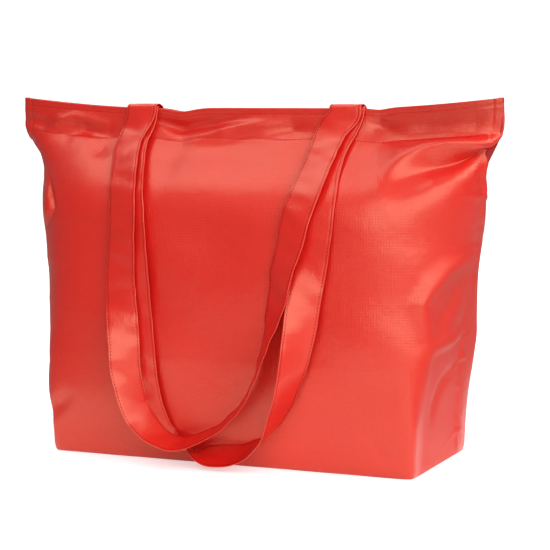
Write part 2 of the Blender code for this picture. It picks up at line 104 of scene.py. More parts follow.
# Layers at the hem, outside to inside, and the zip
HEM_HEIGHT = 0.029
STRAP_END_INSET = 0.0014
FACING_INSET = 0.0025
TAPE_INSET = 0.0033
LAYER_DROP = 0.0006
FACING_HALF_LENGTH = 0.234
FACING_FOOT_LIFT = 0.75
STRAP_END_LENGTH = 0.026
ZIP_HEIGHT = TOP_HEIGHT - 0.008
ZIP_HALF_LENGTH = 0.208
TAPE_DROP = 0.009
TAPE_OVERRUN = 0.004
TAPE_INNER = 0.0019
COIL_PITCH = 0.0014
COIL_END_GAP = 0.0005
COIL_MIDDLE = 0.0013
COIL_HALF_DEPTH = 0.00045
COIL_HALF_HEIGHT = 0.00065
COIL_THREAD_RADIUS = 0.00024

# Thickness of the layers of cloth
FACING_CLOTH = 0.0003
STRAP_END_CLOTH = 0.0007
ZIP_TAPE_CLOTH = 0.0004
POCKET_CLOTH = 0.0003
POCKET_TAPE_CLOTH = 0.0005

# Seam tapes and the pocket
BINDING_DEPTH = 0.008
SIDE_TAPE_FOOT = 0.013
SIDE_TAPE_TOP = 0.322
SIDE_TAPE_CLEAR = 0.001
SIDE_TAPE_THICKNESS = 0.0010
BASE_TAPE_LIFT = 0.0007
BASE_TAPE_INSET = 0.0040
BASE_TAPE_THICKNESS = 0.0004
POCKET_HALF_WIDTH = 0.080
POCKET_BOTTOM = 0.065
POCKET_TOP = 0.205
POCKET_INSET = 0.0023
POCKET_SLACK = 0.0006
POCKET_SLACK_TURN = 22.0
POCKET_TAPE_CLEAR = 0.0013

# Cloth as it is cut, width by length. A panel's width is its mean: low down, the side seams lie further back.
BASE_TAPE_CUT = (1.06, 0.017)
POCKET_TAPE_CUT = (0.160, 0.012)

# The panels' grids, and how their cloth lies at the foot and the seams
PANEL_ROWS = 262
PANEL_COLUMNS = 329
PANEL_FOOT = 0.001
HEM_ROWS_GAIN = 0.7
HEM_ROWS_START = 0.24
HEM_ROWS_RUN = 0.06
SEAM_COLUMNS_GAIN = 0.2
FOOT_TUCK = 0.002
FOOT_TUCK_HEIGHT = 0.009
SEAM_PARTING = 0.0001
SEAM_DRAW = 0.004

# How the panels turn in at their edges: reach inwards, rise, and run along the cloth from the edge
SEAM_TURN = [(0.0012, 0.0, 0.0012), (0.005, 0.0, 0.005)]
HEM_TURN = [
    (0.0004, 0.0003, 0.0005), (0.0009, 0.0001, 0.001), (0.0011, -0.0006, 0.0017), (0.0011, -0.004, 0.005),
]
FOOT_TURN = [(0.0004, -0.0005, 0.0006), (0.0012, -0.0008, 0.0012), (0.006, -0.0006, 0.006)]

# The base sheet: its share of the outline across and deep, how its rings draw in, and its slight unevenness
BASE_LOOP_HEIGHT = 0.0005
BASE_SHARE = np.array([0.988, 0.972])
BASE_CENTRE_SHARE = 0.02
BASE_RING_POWER = 0.8
BASE_LIFT = 0.0003
BASE_SAG = 0.0001
BASE_SAG_TURNS = np.array([90.0, 110.0])

# Handles
STRAP_WIDTH = 0.032
FRONT_STANDOFF = 0.0018
REAR_STANDOFF = 0.0042
AXIS_HEIGHT = TOP_HEIGHT + 0.0014
ROUTE_UNITS = np.array([0.001, 0.001, math.pi / 180, 1.0, 0.001])
ROUTE_STEP = 0.003
RIBBON_STEP = 0.0018
LEVEL_RUN = 0.030
SMOOTHING_SPAN = 9
HANGING_PART = slice(3, -3)

# A handle's section: half its thickness, its crown, the groove under the stitching and the edge beads
STRAP_HALF_THICKNESS = 0.00055
STRAP_CROWN = 0.00025
STRAP_FLAT = 0.965
STRAP_GROOVE = 0.00030
STRAP_GROOVE_WIDTH = 0.035
STRAP_BEAD = np.array([0.993, 1.0, 0.993])
STRAP_BEAD_OUT = np.array([0.0003, 0.0, -0.0003])

# Stitching: the pitch, length and radius of the stitches, and where their rows run
HEM_STITCH = (0.0030, 0.0022, 0.00024)
HANDLE_STITCH = (0.0032, 0.0018, 0.00032)
TOP_ROW_DROP = 0.0055
TOP_ROW_REACH = 0.243
FOOT_ROW_REACH = 0.238
HEM_ROW_LIFT = 0.00012
HANDLE_ROW = 0.86
HANDLE_ROW_OUT = 0.00052
HANDLE_ROW_RUN = slice(4, -4)

# Grooves of the hem's rows of stitching and of the seams beside the ears
ROW_GROOVE = 0.0003
TOP_ROW_WIDTH = 0.0010
FOOT_ROW_WIDTH = 0.0014
EAR_SEAM_GROOVE = 0.0008
EAR_SEAM_INSET = 0.009
EAR_SEAM_WIDTH = 0.0012
EAR_SEAM_START = 0.297
EAR_SEAM_RUN = 0.012

# Puckers along the side seams: ranges of their sizes, and the seam's own ridge and the groove beside it
GATHER_COUNT = 34
GATHER_SPACING = (0.006, 0.013)
GATHER_HEIGHT = (-0.0014, 0.0016)
GATHER_WIDTH = (0.0025, 0.0060)
GATHER_LENGTH = (0.006, 0.020)
GATHER_TILT = (-0.5, 0.5)
GATHER_SEED = 31
GATHER_CALM = 0.02
GATHER_TOP = TOP_HEIGHT + 0.004
SEAM_RIDGE = 0.0014
SEAM_GROOVE = 0.0006
SEAM_GROOVE_INSET = 0.0075
SEAM_RIDGE_WIDTH = 0.0030

# Slow waves of the panels and soft creases of the handles
WAVE_COUNT = 9
WAVE_LENGTH = (0.07, 0.19)
WAVE_HEIGHT = 0.00045
WAVE_SEED = {FRONT: 5, REAR: 6}
WAVE_FOOT_CALM = 0.03
WAVE_TOP_CALM = 0.05
HEM_HOLD = 0.75
HEM_HOLD_START = 0.320
HEM_HOLD_RUN = 0.016
CREASE_COUNT = 9
CREASE_LENGTH = (0.018, 0.070)
CREASE_SLANT = (-2.2, 2.2)
CREASE_SHARE = (0.4, 1.0)
CREASE_HEIGHT = 0.00022
CREASE_CALM = 0.05
CREASE_SEED = {FRONT: 11, REAR: 12}

# Routes of the handles on the front: across, height, turn of the ribbon, width share and clearance.
# Millimetres and degrees. Where the turn is below 0, the ribbon's outer edge comes forward.
FRONT_HANDLE_ROUTE = [
    (-112, 333, 0, 1.0, 0), (-113, 299, 8, 0.9, 0), (-104, 274, 12, 0.9, 0), (-94, 241, 12, 0.92, 1),
    (-90, 195, 8, 1.0, 2), (-87, 145, 0, 1.0, 3), (-83, 108, 0, 1.0, 3), (-81, 80, 0, 0.95, 3),
    (-77, 58, 0, 0.9, 3), (-70, 41, 0, 0.8, 2), (-58, 26, 0, 0.6, 1), (-38, 17, 48, 0.55, 1),
    (-17, 16, 106, 0.9, 2), (-1, 15.5, 114, 1.0, 2), (13, 17, 114, 1.0, 2), (26, 21, 110, 1.0, 2),
    (40, 29, 101, 1.0, 3), (53, 41, 89, 1.0, 4), (67, 65, 73, 1.0, 5), (77, 93, 61, 1.0, 5),
    (84, 128, 41, 1.0, 5), (87, 164, 18, 1.0, 4), (93, 209, 0, 1.0, 2), (96, 240, 0, 1.0, 1),
    (95, 258, 0, 1.0, 0), (92, 278, 0, 1.0, 0), (92, 298, 0, 1.0, 0), (103, 333, 0, 1.0, 0),
]
REAR_HANDLE_ROUTE = [
    (-113, 333, 0, 0.95, 0), (-119, 300, 9, 0.93, 0), (-111, 273, 11, 0.95, 0), (-103, 244, 12, 0.96, 1),
    (-102, 205, 9, 1.0, 2), (-102, 165, 0, 1.0, 4), (-99, 142, -12, 1.0, 5), (-94, 114, -27, 0.95, 6),
    (-92, 92, -40, 0.95, 6), (-88, 74, -50, 0.97, 6), (-82, 57, -58, 1.0, 6), (-71, 42, -69, 1.0, 6),
    (-58, 31, -78, 1.0, 5), (-40, 26, -82, 1.0, 4), (-21, 31, -82, 1.0, 3), (-4, 39, -80, 1.0, 2),
    (12, 51, -78, 1.0, 1), (26, 65, -75, 1.0, 1), (36, 80, -72, 1.0, 1), (45, 102, -67, 1.0, 1),
    (52, 123, -59, 1.0, 1), (58, 147, -46, 1.0, 1), (62, 164, -35, 1.0, 1), (65, 186, -29, 1.0, 1),
    (71, 209, -21, 1.0, 1), (76, 236, -11, 1.0, 1), (81, 256, -8, 1.0, 0), (84, 277, -7, 1.0, 0),
    (86, 297, -6, 1.0, 0), (89, 315, -3, 1.0, 0), (100, 333, 0, 1.0, 0),
]
HANDLE_ROUTE = {FRONT: FRONT_HANDLE_ROUTE, REAR: REAR_HANDLE_ROUTE}

# How each handle comes out of the hem and over the top edge: depth and height from its axis, in millimetres
FRONT_TURN = [(0.2, -3.4), (0.2, -1.8), (-0.1, -0.7), (-1.0, 0.0), (-2.2, -0.3), (-2.8, -1.2), (-3.0, -2.6)]
REAR_TURN = [
    (0.2, -3.4), (0.2, -1.8), (-0.2, -0.5), (-1.4, 0.3), (-3.2, 0.9), (-5.6, 1.9), (-8.6, 2.4), (-10.7, 2.4),
    (-12.4, 2.1), (-14.8, 1.1), (-15.8, -0.4), (-16.4, -3.2),
]

# Folds of the panels: a line of points, each with its place across and up the cloth, its height, its width,
# and the width to the left of the line's run where that differs. Millimetres; a negative height is a crease.
FRONT_FOLDS = [
    [(254, 290, -6, 4, 8), (238, 291, -11, 4, 10), (214, 290, -12, 5, 12), (192, 286, -10, 6, 14),
     (174, 278, -6, 9, 18), (150, 264, 0, 14, 22)],
    [(252, 299, 2, 6, 4), (232, 300, 6, 7, 4), (206, 300, 8, 8, 4), (184, 297, 8, 10, 5),
     (164, 290, 5, 13, 8), (146, 279, 0, 16, 12)],
    [(112, 313, 0, 12, 18), (140, 312, -3, 8, 20), (180, 311, -5, 6, 20), (225, 310, -5, 5, 18),
     (250, 309, -2, 5, 16)],
    [(-246, 318, -2, 6), (-226, 316, -3, 7), (-206, 311, -2, 8), (-186, 305, 0, 9)],
    [(-224, 307, 1, 5), (-206, 320, 5, 6), (-190, 327, 5, 6), (-171, 325, 3, 6), (-150, 318, 0, 7)],
    [(-204, 311, 0, 6), (-176, 315, -5, 6), (-150, 312, -3, 7), (-130, 304, 0, 8)],
    [(-170, 301, 0, 8), (-152, 296, -3, 8), (-138, 289, 0, 8)],
    [(-217, 273, 0, 3), (-200, 251, -4, 3), (-194, 239, -5, 3), (-198, 230, -4, 3), (-222, 211, 0, 4)],
    [(-219, 262, 0, 5), (-207, 246, 3, 6), (-205, 236, 3, 6), (-214, 224, 0, 6)],
    [(-97, 327, -4, 6), (-70, 323, -7, 7), (-40, 325, -5, 7), (-7, 332, -2, 6), (11, 337, 0, 6)],
    [(-66, 306, 0, 8), (-24, 315, 5, 7), (11, 323, 4, 7), (46, 328, 0, 7)],
    [(18, 310, 0, 7), (46, 318, -4, 7), (72, 316, 0, 8)],
    [(132, 327, -5, 7), (146, 318, -2, 8), (160, 312, 0, 8)],
    [(272, 200, 0, 8), (240, 198, 3, 9), (219, 192, 5, 9), (203, 177, 6, 9), (194, 161, 6, 9),
     (198, 145, 5, 9), (203, 128, 3, 10), (204, 92, 2, 10), (206, 50, 0, 10)],
    [(264, 184, 0, 15), (240, 168, -6, 17), (229, 150, -6, 17), (236, 130, 0, 18)],
    [(292, 130, 2, 6), (254, 124, 4, 6), (216, 122, 3, 7), (200, 116, 0, 8)],
    [(290, 96, 0, 8), (262, 84, -4, 9), (238, 62, -3, 10), (222, 44, 0, 10)],
    [(-192, 30, 0, 7), (-176, 48, -3, 8), (-158, 66, 0, 9)],
    [(136, 38, 0, 8), (155, 24, -2.5, 8), (174, 9, 0, 8)],
]
REAR_FOLDS = [
    [(252, 297, -6, 7), (225, 296, -5, 10), (200, 290, -3, 13), (170, 272, 0, 16)],
    [(250, 305, 2, 6), (222, 307, 4, 9), (192, 301, 3, 12), (165, 288, 0, 15)],
    [(-252, 293, -7, 7), (-226, 291, -6, 10), (-203, 284, -4, 13), (-172, 264, 0, 16)],
    [(-250, 302, 2, 6), (-222, 302, 5, 9), (-196, 296, 4, 12), (-168, 282, 0, 15)],
    [(-150, 318, 0, 8), (-100, 324, -3, 9), (-40, 319, -2, 9), (10, 328, 0, 8)],
    [(20, 312, 0, 8), (70, 321, 2.5, 9), (120, 324, -2.5, 9), (170, 316, 0, 8)],
    [(-260, 215, -5, 16), (-235, 190, -4, 20), (-205, 168, 0, 22)],
    [(262, 150, -3, 14), (238, 130, -3, 18), (208, 118, 0, 20)],
]

# The nylon's finish: lengths in metres, scales in clouds to the metre, the rest as shares
RIPSTOP_PITCH = 0.0026
THICK_THREAD = (0.32, 0.47)
CRUMPLE_SCALE = 55.0
DYE_SCALE = 9.0
WEAVE_SCALE = 1500.0
GRID_SHADE = 0.15
DYE_SHADE = 0.4
PANEL_GRID_RELIEF = 0.11
STRAP_GRID_RELIEF = 0.05
CRUMPLE_RELIEF = 0.9
WEAVE_RELIEF = 0.05
NYLON_RELIEF = 0.0006
NYLON_ROUGHNESS = (0.27, 0.33)
NYLON_TINT = (1.0, 0.86, 0.58, 1.0)

# Painted shade on the hem band, standing in for the shade of the folds at the ears: where it starts, how its
# edge wanders, and how much darker it is towards its right end. The double cloth there is also a little
# deeper in tone.
HEM_FOOT_GAP = 0.0004
HEM_SHADE_WANDER = 0.04
HEM_SHADE_FADE = (-0.007, 0.016)
HEM_SHADE_RIGHT_END = (0.08, 0.2)
HEM_SHADE_LEFT_SHARE = 0.3
HEM_SHADE_TONE = 0.86

# The duller sides, and the painted shade in the groove under a handle's row of stitches
SIDE_DULL_FROM = (0.190, 0.215)
SIDE_DULL_HEIGHT = (0.17, 0.26)
SIDE_DULLNESS = 0.26
STITCH_GROOVE_EDGE = (0.0004, 0.0011)
STITCH_GROOVE_SHADE = 0.5
STITCH_GROOVE_TONE = 0.8

# The other finishes: the tape's ribs in radians to the metre, scales, reliefs and wear in the gloss
RIB_TURNS = (6500.0, 5200.0)
RIB_RELIEF = 0.00012
TWIST_SCALE = 2600.0
TWIST_RELIEF = 0.00004
ENAMEL_SCALE = 900.0
ENAMEL_RELIEF = 0.00003
ENAMEL_WEAR = (-0.08, 0.1)
NOISE_RANGE = (0.3, 0.7)

# The stage: paper that starts to curve up far behind the bag, how it widens, and how it glows near and far
SWEEP_FLAT = 3.4
SWEEP_RADIUS = 0.8
PAPER_RUN = (-1.0, 8.7)
PAPER_GRID = (140, 9)
PAPER_HALF_WIDTH = 0.31
PAPER_SPREAD = 0.155
PAPER_FAR = 1.4
PAPER_FAR_SPREAD = 0.075
GLOW_REACH = (0.8, 2.4)
GLOW = (0.5, 0.86)
GROUND_REACH = 6.0
GROUND_DROP = 0.004
WORLD_LIGHT = 0.22

# Lamps: degrees round from the front and up, distance, width, height and power, all aimed at one place
LAMPS = [
    ("key_softbox", 33.0, 28.0, 2.3, 3.2, 2.2, 55.0),
    ("right_softbox", 100.0, 42.0, 2.0, 1.2, 1.0, 15.0),
    ("top_softbox", -70.0, 64.0, 2.0, 1.0, 1.0, 7.0),
    ("over_softbox", 160.0, 75.0, 2.2, 2.0, 1.4, 3.0),
    ("rear_softbox", 205.0, 36.0, 2.4, 2.6, 1.8, 26.0),
]
LAMP_TARGET = 0.18 * UP

# The camera, at the picture's angle
CAMERA_AZIMUTH = 22.92
CAMERA_ELEVATION = 5.55
CAMERA_AWAY = 1.8
CAMERA_LENS = 120.0
CAMERA_SENSOR = 36.0
TARGET_ACROSS = 0.0136
TARGET_HEIGHT = 0.1747


# Shape of the filled cloth


def smooth(t):
    """Ease from 0 to 1 with level ends: t t (3 - 2 t)."""
    t = np.clip(t, 0.0, 1.0)
    return t * t * (3.0 - 2.0 * t)


def ridge(away, width):
    """A rounded ridge, 1 on its line and fading to both sides: exp(-(away / width)^2)."""
    return np.exp(-(away / width) ** 2)


def unit(v):
    """Vectors scaled to length 1."""
    return v / np.maximum(np.linalg.norm(v, axis=-1, keepdims=True), 1e-12)


def chords(points, axis=0):
    """Length along each line of points, summed over its chords."""
    first = np.take(points, [0], axis=axis)
    return np.linalg.norm(np.diff(points, axis=axis, prepend=first), axis=-1).cumsum(axis=axis)


def circle(sides):
    """Angles of a ring of points, evenly round."""
    return np.arange(sides) * 2 * math.pi / sides


def section(z, side):
    """Half width, the panel's depth, the two corner powers and the side seam's place at height z.

    The body puffs out above the base and bulges to the front and rear. It closes to the flat hem by
    1 - exp(-(depth below the top)^p), and the powers rise towards the square base.
    """
    below_top = np.maximum(TOP_HEIGHT - z, 0.0)
    full = 1.0 - np.exp(-(below_top / CLOSING_DEPTH) ** CLOSING_POWER)
    low = ridge(z, BASE_FADE)
    body = BASE_HALF_WIDTH + SIDE_PUFF * (1.0 - ridge(z, PUFF_HEIGHT))
    half_width = body + (EAR_HALF_WIDTH - body) * smooth((z - EAR_BLEND_START) / EAR_BLEND)
    belly = BASE_DEPTH / 2 + BULGE * np.sin(np.pi * np.clip(z / BULGE_TOP, 0.0, 1.0))
    half_depth = HEM_HALF_DEPTH - SEAM_HALF_GAP + (belly - HEM_HALF_DEPTH) * full
    face_power = FACE_POWER + HEM_FACE_POWER * (1.0 - full) + BASE_POWER * low
    side_power = SIDE_POWER + BODY_SIDE_POWER * full + BASE_POWER * low
    centre = BODY_LEAN * np.minimum(z / LEAN_FADE, 1.0)
    centre = centre + (TOP_LEAN - BODY_LEAN) * smooth((z - TOP_LEAN_START) / TOP_LEAN_RUN)
    shift = SEAM_SHIFT * (1.0 - smooth(z / SEAM_SHIFT_HEIGHT))
    return half_width, half_depth - side * shift, face_power, side_power, centre + shift


def ear_lift(x, z):
    """How far the top edge rises towards the ears and dips beside the handles, less and less down the bag."""
    outward = np.clip((np.abs(x) / EAR_HALF_WIDTH - EAR_START) / (1.0 - EAR_START), 0.0, 1.0)
    sag = sum(depth * ridge(x - place, width) for depth, place, width in HEM_SAGS)
    high = np.clip((z - EAR_LIFT_START) / (TOP_HEIGHT - EAR_LIFT_START), 0.0, 1.0)
    return (EAR_RISE * outward ** EAR_LIFT_POWER - sag) * high


def left_draw(x, z):
    """How far the left side of the filled bag stands in from the even shape, read off its list by height."""
    heights, inward = np.array(LEFT_DRAW).T / 1000
    return np.interp(z, heights, inward) * smooth((-x - LEFT_DRAW_START) / LEFT_DRAW_RUN)


def wall_y(side, x, z):
    """The unfolded outer face: seam + side (gap + depth (1 - |x/width|^p)^(1/q))."""
    z = np.clip(z - ear_lift(x, z), 0.0, TOP_HEIGHT)
    half_width, depth, face_power, side_power, seam = section(z, side)
    across = np.clip(np.abs(x) / half_width, 0.0, 1.0)
    return seam + side * (SEAM_HALF_GAP + depth * (1.0 - across ** face_power) ** (1.0 / side_power))


def wall_normal(side, x, z):
    """Unit normal of that face, pointing out of the bag, from its slopes across and up."""
    step = 0.0005
    z = np.minimum(z, TOP_HEIGHT - step)
    slope_x = (wall_y(side, x + step, z) - wall_y(side, x - step, z)) / (2 * step)
    slope_z = (wall_y(side, x, z + step) - wall_y(side, x, z - step)) / (2 * step)
    return unit(np.stack([-slope_x, np.ones_like(slope_x), -slope_z], axis=-1) * side)


def inside_wall(side, x, z, inset):
    """Points at height z, the given distance inside the folded outer face.

    The place on the face whose normal leads to height z is settled in three rounds.
    """
    x, z = np.broadcast_arrays(np.asarray(x, float), np.asarray(z, float))
    facing_z = z
    for _ in range(3):
        normal = wall_normal(side, x, facing_z)
        facing_z = z + normal[..., 2] * inset
    outer = np.stack([x, wall_y(side, x, facing_z), facing_z], axis=-1)
    return outer + normal * (folds(side, x, z - ear_lift(x, z)) - inset)[..., None]


def outline(side, heights, across):
    """The outer face at each height, half a superellipse |x/a|^p + |y/b|^q = 1 from seam to seam.

    across gives each column's share of the cloth from the middle, -1 at the left seam and 1 at the right.
    Returns the points and each one's place across the cloth, in metres from the middle.
    """
    half_width, depth, face_power, side_power, seam = (v[:, None] for v in section(heights, side))
    count = len(heights)
    cosine = np.cos(np.linspace(0.0, math.pi, 700))
    corner = -np.sign(cosine) * np.abs(cosine) ** (2.0 / face_power)
    even = np.tile(np.linspace(-1.0, 1.0, 401), (count, 1))
    share = np.sort(np.concatenate([corner, even], axis=1), axis=1)
    x = half_width * share
    y = SEAM_HALF_GAP + depth * np.maximum(1.0 - np.abs(share) ** face_power, 0.0) ** (1.0 / side_power)
    run = chords(np.stack([x, y], axis=-1), axis=1)
    length = run[:, -1:]
    # Each row's share is set apart from the next row's, so that one interpolation serves them all
    row = 2.0 * np.arange(count)[:, None]
    want = (np.tile(across, (count, 1)) + 1.0) / 2.0 + row
    known = run / length + row
    px = np.interp(want.ravel(), known.ravel(), x.ravel()).reshape(want.shape)
    py = np.interp(want.ravel(), known.ravel(), y.ravel()).reshape(want.shape)
    z = heights[:, None]
    points = np.stack([px + left_draw(px, z), seam + side * py, z + ear_lift(px, z)], axis=-1)
    return points, across * length / 2.0


def whole_outline(heights, across):
    """Closed loops round the bag at the given heights: along the front, then back along the rear."""
    front, rear = (outline(side, heights, across)[0] for side in (FRONT, REAR))
    return np.concatenate([front, rear[:, ::-1]], axis=1)


def fold(s, z, line):
    """A fold along a line: height exp(-(distance / width)^2), with height and width eased along it.

    A fifth number is the width to the left of the line's run, where it differs from that to the right.
    """
    knots = np.array([(*knot, knot[3])[:5] for knot in line], float) / 1000
    nearest = np.full(s.shape, np.inf)
    lift = np.zeros(s.shape)
    for a, b in zip(knots[:-1], knots[1:]):
        run = b[:2] - a[:2]
        t = np.clip(((s - a[0]) * run[0] + (z - a[1]) * run[1]) / (run @ run), 0.0, 1.0)
        ds, dz = s - a[0] - t * run[0], z - a[1] - t * run[1]
        away = ds ** 2 + dz ** 2
        height, right, left = (a[k] + (b[k] - a[k]) * t for k in (2, 3, 4))
        turn = (run[0] * dz - run[1] * ds) / np.maximum(np.sqrt(away * (run @ run)), 1e-9)
        width = right + (left - right) * smooth(0.5 + 0.5 * turn)
        lift = np.where(away < nearest, height * np.exp(-away / width ** 2), lift)
        nearest = np.minimum(nearest, away)
    return lift


def gathers(s, z, half_length, end):
    """Puckers that leave a side seam: uneven short ridges square to it, each dying out over its own length.

    height exp(-((z - place - tilt r) / width)^2) exp(-r / length), where r is the distance from the seam.
    The seam itself is a ridge with a groove beside it.
    """
    dice = np.random.default_rng(GATHER_SEED + end)
    r = np.maximum(half_length - end * s, 0.0)
    lift = np.zeros(s.shape)
    for place in np.cumsum(dice.uniform(*GATHER_SPACING, GATHER_COUNT)):
        height = dice.uniform(*GATHER_HEIGHT)
        width = dice.uniform(*GATHER_WIDTH)
        length = dice.uniform(*GATHER_LENGTH)
        tilt = dice.uniform(*GATHER_TILT)
        lift += height * ridge(z - place - tilt * r, width) * np.exp(-r / length)
    lift = lift + SEAM_RIDGE * ridge(r, SEAM_RIDGE_WIDTH)
    return lift - SEAM_GROOVE * ridge(r - SEAM_GROOVE_INSET, SEAM_RIDGE_WIDTH)


def waves(s, z, seed):
    """Slow unevenness of the filled cloth: a sum of long sine waves in all directions."""
    dice = np.random.default_rng(seed)
    lift = np.zeros(s.shape)
    for _ in range(WAVE_COUNT):
        angle, phase = dice.uniform(0.0, math.pi), dice.uniform(0.0, 2 * math.pi)
        turns = 2 * math.pi / dice.uniform(*WAVE_LENGTH)
        lift += np.sin(turns * (s * math.cos(angle) + z * math.sin(angle)) + phase)
    return WAVE_HEIGHT * lift


def folds(side, s, z):
    """How far the cloth stands out from its smooth filled shape, at s across and z up.

    The panel's folds and waves are held down at the stiff hem, and the rows of stitching and the seams beside
    the ears are pressed in.
    """
    s, z = np.broadcast_arrays(np.asarray(s, float), np.asarray(z, float))
    lines = FRONT_FOLDS if side == FRONT else REAR_FOLDS
    calm = smooth(z / WAVE_FOOT_CALM) * smooth((TOP_HEIGHT - z) / WAVE_TOP_CALM)
    lift = sum(fold(s, z, line) for line in lines) + waves(s, z, WAVE_SEED[side]) * calm
    lift = lift * (1.0 - HEM_HOLD * smooth((z - HEM_HOLD_START) / HEM_HOLD_RUN))
    lift = lift - ROW_GROOVE * ridge(z - TOP_HEIGHT + HEM_HEIGHT, FOOT_ROW_WIDTH)
    ear_seam = ridge(np.abs(s) - EAR_HALF_WIDTH + EAR_SEAM_INSET, EAR_SEAM_WIDTH)
    lift = lift - EAR_SEAM_GROOVE * ear_seam * smooth((z - EAR_SEAM_START) / EAR_SEAM_RUN)
    return lift - ROW_GROOVE * ridge(z - TOP_HEIGHT + TOP_ROW_DROP, TOP_ROW_WIDTH)


# Meshes


def grid_normals(points):
    """Unit normals of a grid of points, the cross product of its steps along columns and rows."""
    return unit(np.cross(np.gradient(points, axis=1), np.gradient(points, axis=0)))


def mesh_piece(name, points, faces, finish, uv=None):
    """A mesh object at the origin, with its own cloth map in metres where uv is given for each point."""
    mesh = bpy.data.meshes.new(name)
    mesh.from_pydata(points.reshape(-1, 3).tolist(), [], faces)
    if uv is not None:
        corner = np.empty(len(mesh.loops), np.int32)
        mesh.loops.foreach_get("vertex_index", corner)
        layer = mesh.uv_layers.new(name="cloth")
        layer.data.foreach_set("uv", uv.reshape(-1, 2)[corner].astype(np.float32).ravel())
    mesh.materials.append(finish)
    mesh.shade_smooth()
    mesh.update()
    thing = bpy.data.objects.new(name, mesh)
    bpy.context.collection.objects.link(thing)
    return thing


def grid_faces(rows, columns, flip=False, close_columns=False):
    """Quads of a grid, closed round its columns if asked, turned over if flip is set."""
    spans = columns if close_columns else columns - 1
    i, j = np.meshgrid(np.arange(rows - 1), np.arange(spans), indexing="ij")
    here, below, beside = i * columns, (i + 1) * columns, (j + 1) % columns
    quads = np.stack([here + j, here + beside, below + beside, below + j], axis=-1).reshape(-1, 4)
    return (quads[:, ::-1] if flip else quads).tolist()


def tube(name, rings, finish, uv=None):
    """A closed skin round rings of points, with its faces turned out by the sign of its volume."""
    rows, columns = rings.shape[:2]
    points = rings.reshape(-1, 3)
    quads = np.array(grid_faces(rows, columns, close_columns=True))
    a, b, c, d = (points[quads[:, k]] - points.mean(axis=0) for k in range(4))
    volume = np.einsum("ij,ij->", a, np.cross(b, c)) + np.einsum("ij,ij->", a, np.cross(c, d))
    caps = [list(range(columns))[::-1], list(range((rows - 1) * columns, rows * columns))]
    faces = quads.tolist() + caps
    if volume < 0.0:
        faces = [face[::-1] for face in faces]
    return mesh_piece(name, points, faces, finish, uv)


def strip(name, points, finish, thickness=0.0, flip=False):
    """A strip of cloth on a grid of points, with its map in metres along its own rows and columns."""
    rows, columns = points.shape[:2]
    uv = np.stack([chords(points, axis=1), chords(points)], axis=-1)
    thing = mesh_piece(name, points, grid_faces(rows, columns, flip), finish, uv)
    if thickness:
        solid = thing.modifiers.new("thickness", "SOLIDIFY")
        solid.thickness = thickness
        solid.offset = 0.0
    return thing


def stitches(name, lines, finish, pitch, length, radius):
    """Thread dashes along lines of points with normals: low beads, thin where they enter the cloth.

    Each bead is five rings of five points, set by their place along it, their size and their rise.
    """
    step = np.array([-1.0, -0.6, 0.0, 0.6, 1.0])
    size = np.array([0.45, 0.9, 1.0, 0.9, 0.45])[:, None, None]
    rise = np.array([-0.7, 0.1, 0.4, 0.1, -0.7])[:, None, None]
    rings = len(step)
    sides = 5
    angle = circle(sides)[:, None]
    skins = []
    for points, normals in lines:
        run = chords(points)
        middle = np.arange(pitch, run[-1] - pitch, pitch)
        at = (middle[:, None] + step * length / 2).ravel()
        place, up = (np.stack([np.interp(at, run, column) for column in line.T], axis=-1)
                     for line in (points, normals))
        place, up = place.reshape(-1, rings, 3), unit(up).reshape(-1, rings, 3)
        along = unit(np.repeat((place[:, -1] - place[:, 0])[:, None], rings, axis=1))
        sideways = unit(np.cross(along, up))
        ring = np.cos(angle) * sideways[:, :, None] + np.sin(angle) * up[:, :, None]
        skins.append(place[:, :, None] + radius * (size * ring + rise * up[:, :, None]))
    skins = np.concatenate(skins)
    quads = np.array(grid_faces(rings, sides, flip=True, close_columns=True))
    caps = np.stack([np.arange(sides), np.arange(rings * sides - 1, (rings - 1) * sides - 1, -1)])
    first = np.arange(len(skins))[:, None, None] * rings * sides
    faces = (quads + first).reshape(-1, 4).tolist() + (caps + first).reshape(-1, sides).tolist()
    return mesh_piece(name, skins, faces, finish)


# Materials

# Sockets of a Mix node for colours: the share, the two colours and the result
MIX_SHARE, MIX_A, MIX_B, MIX_RESULT = 0, 6, 7, 2


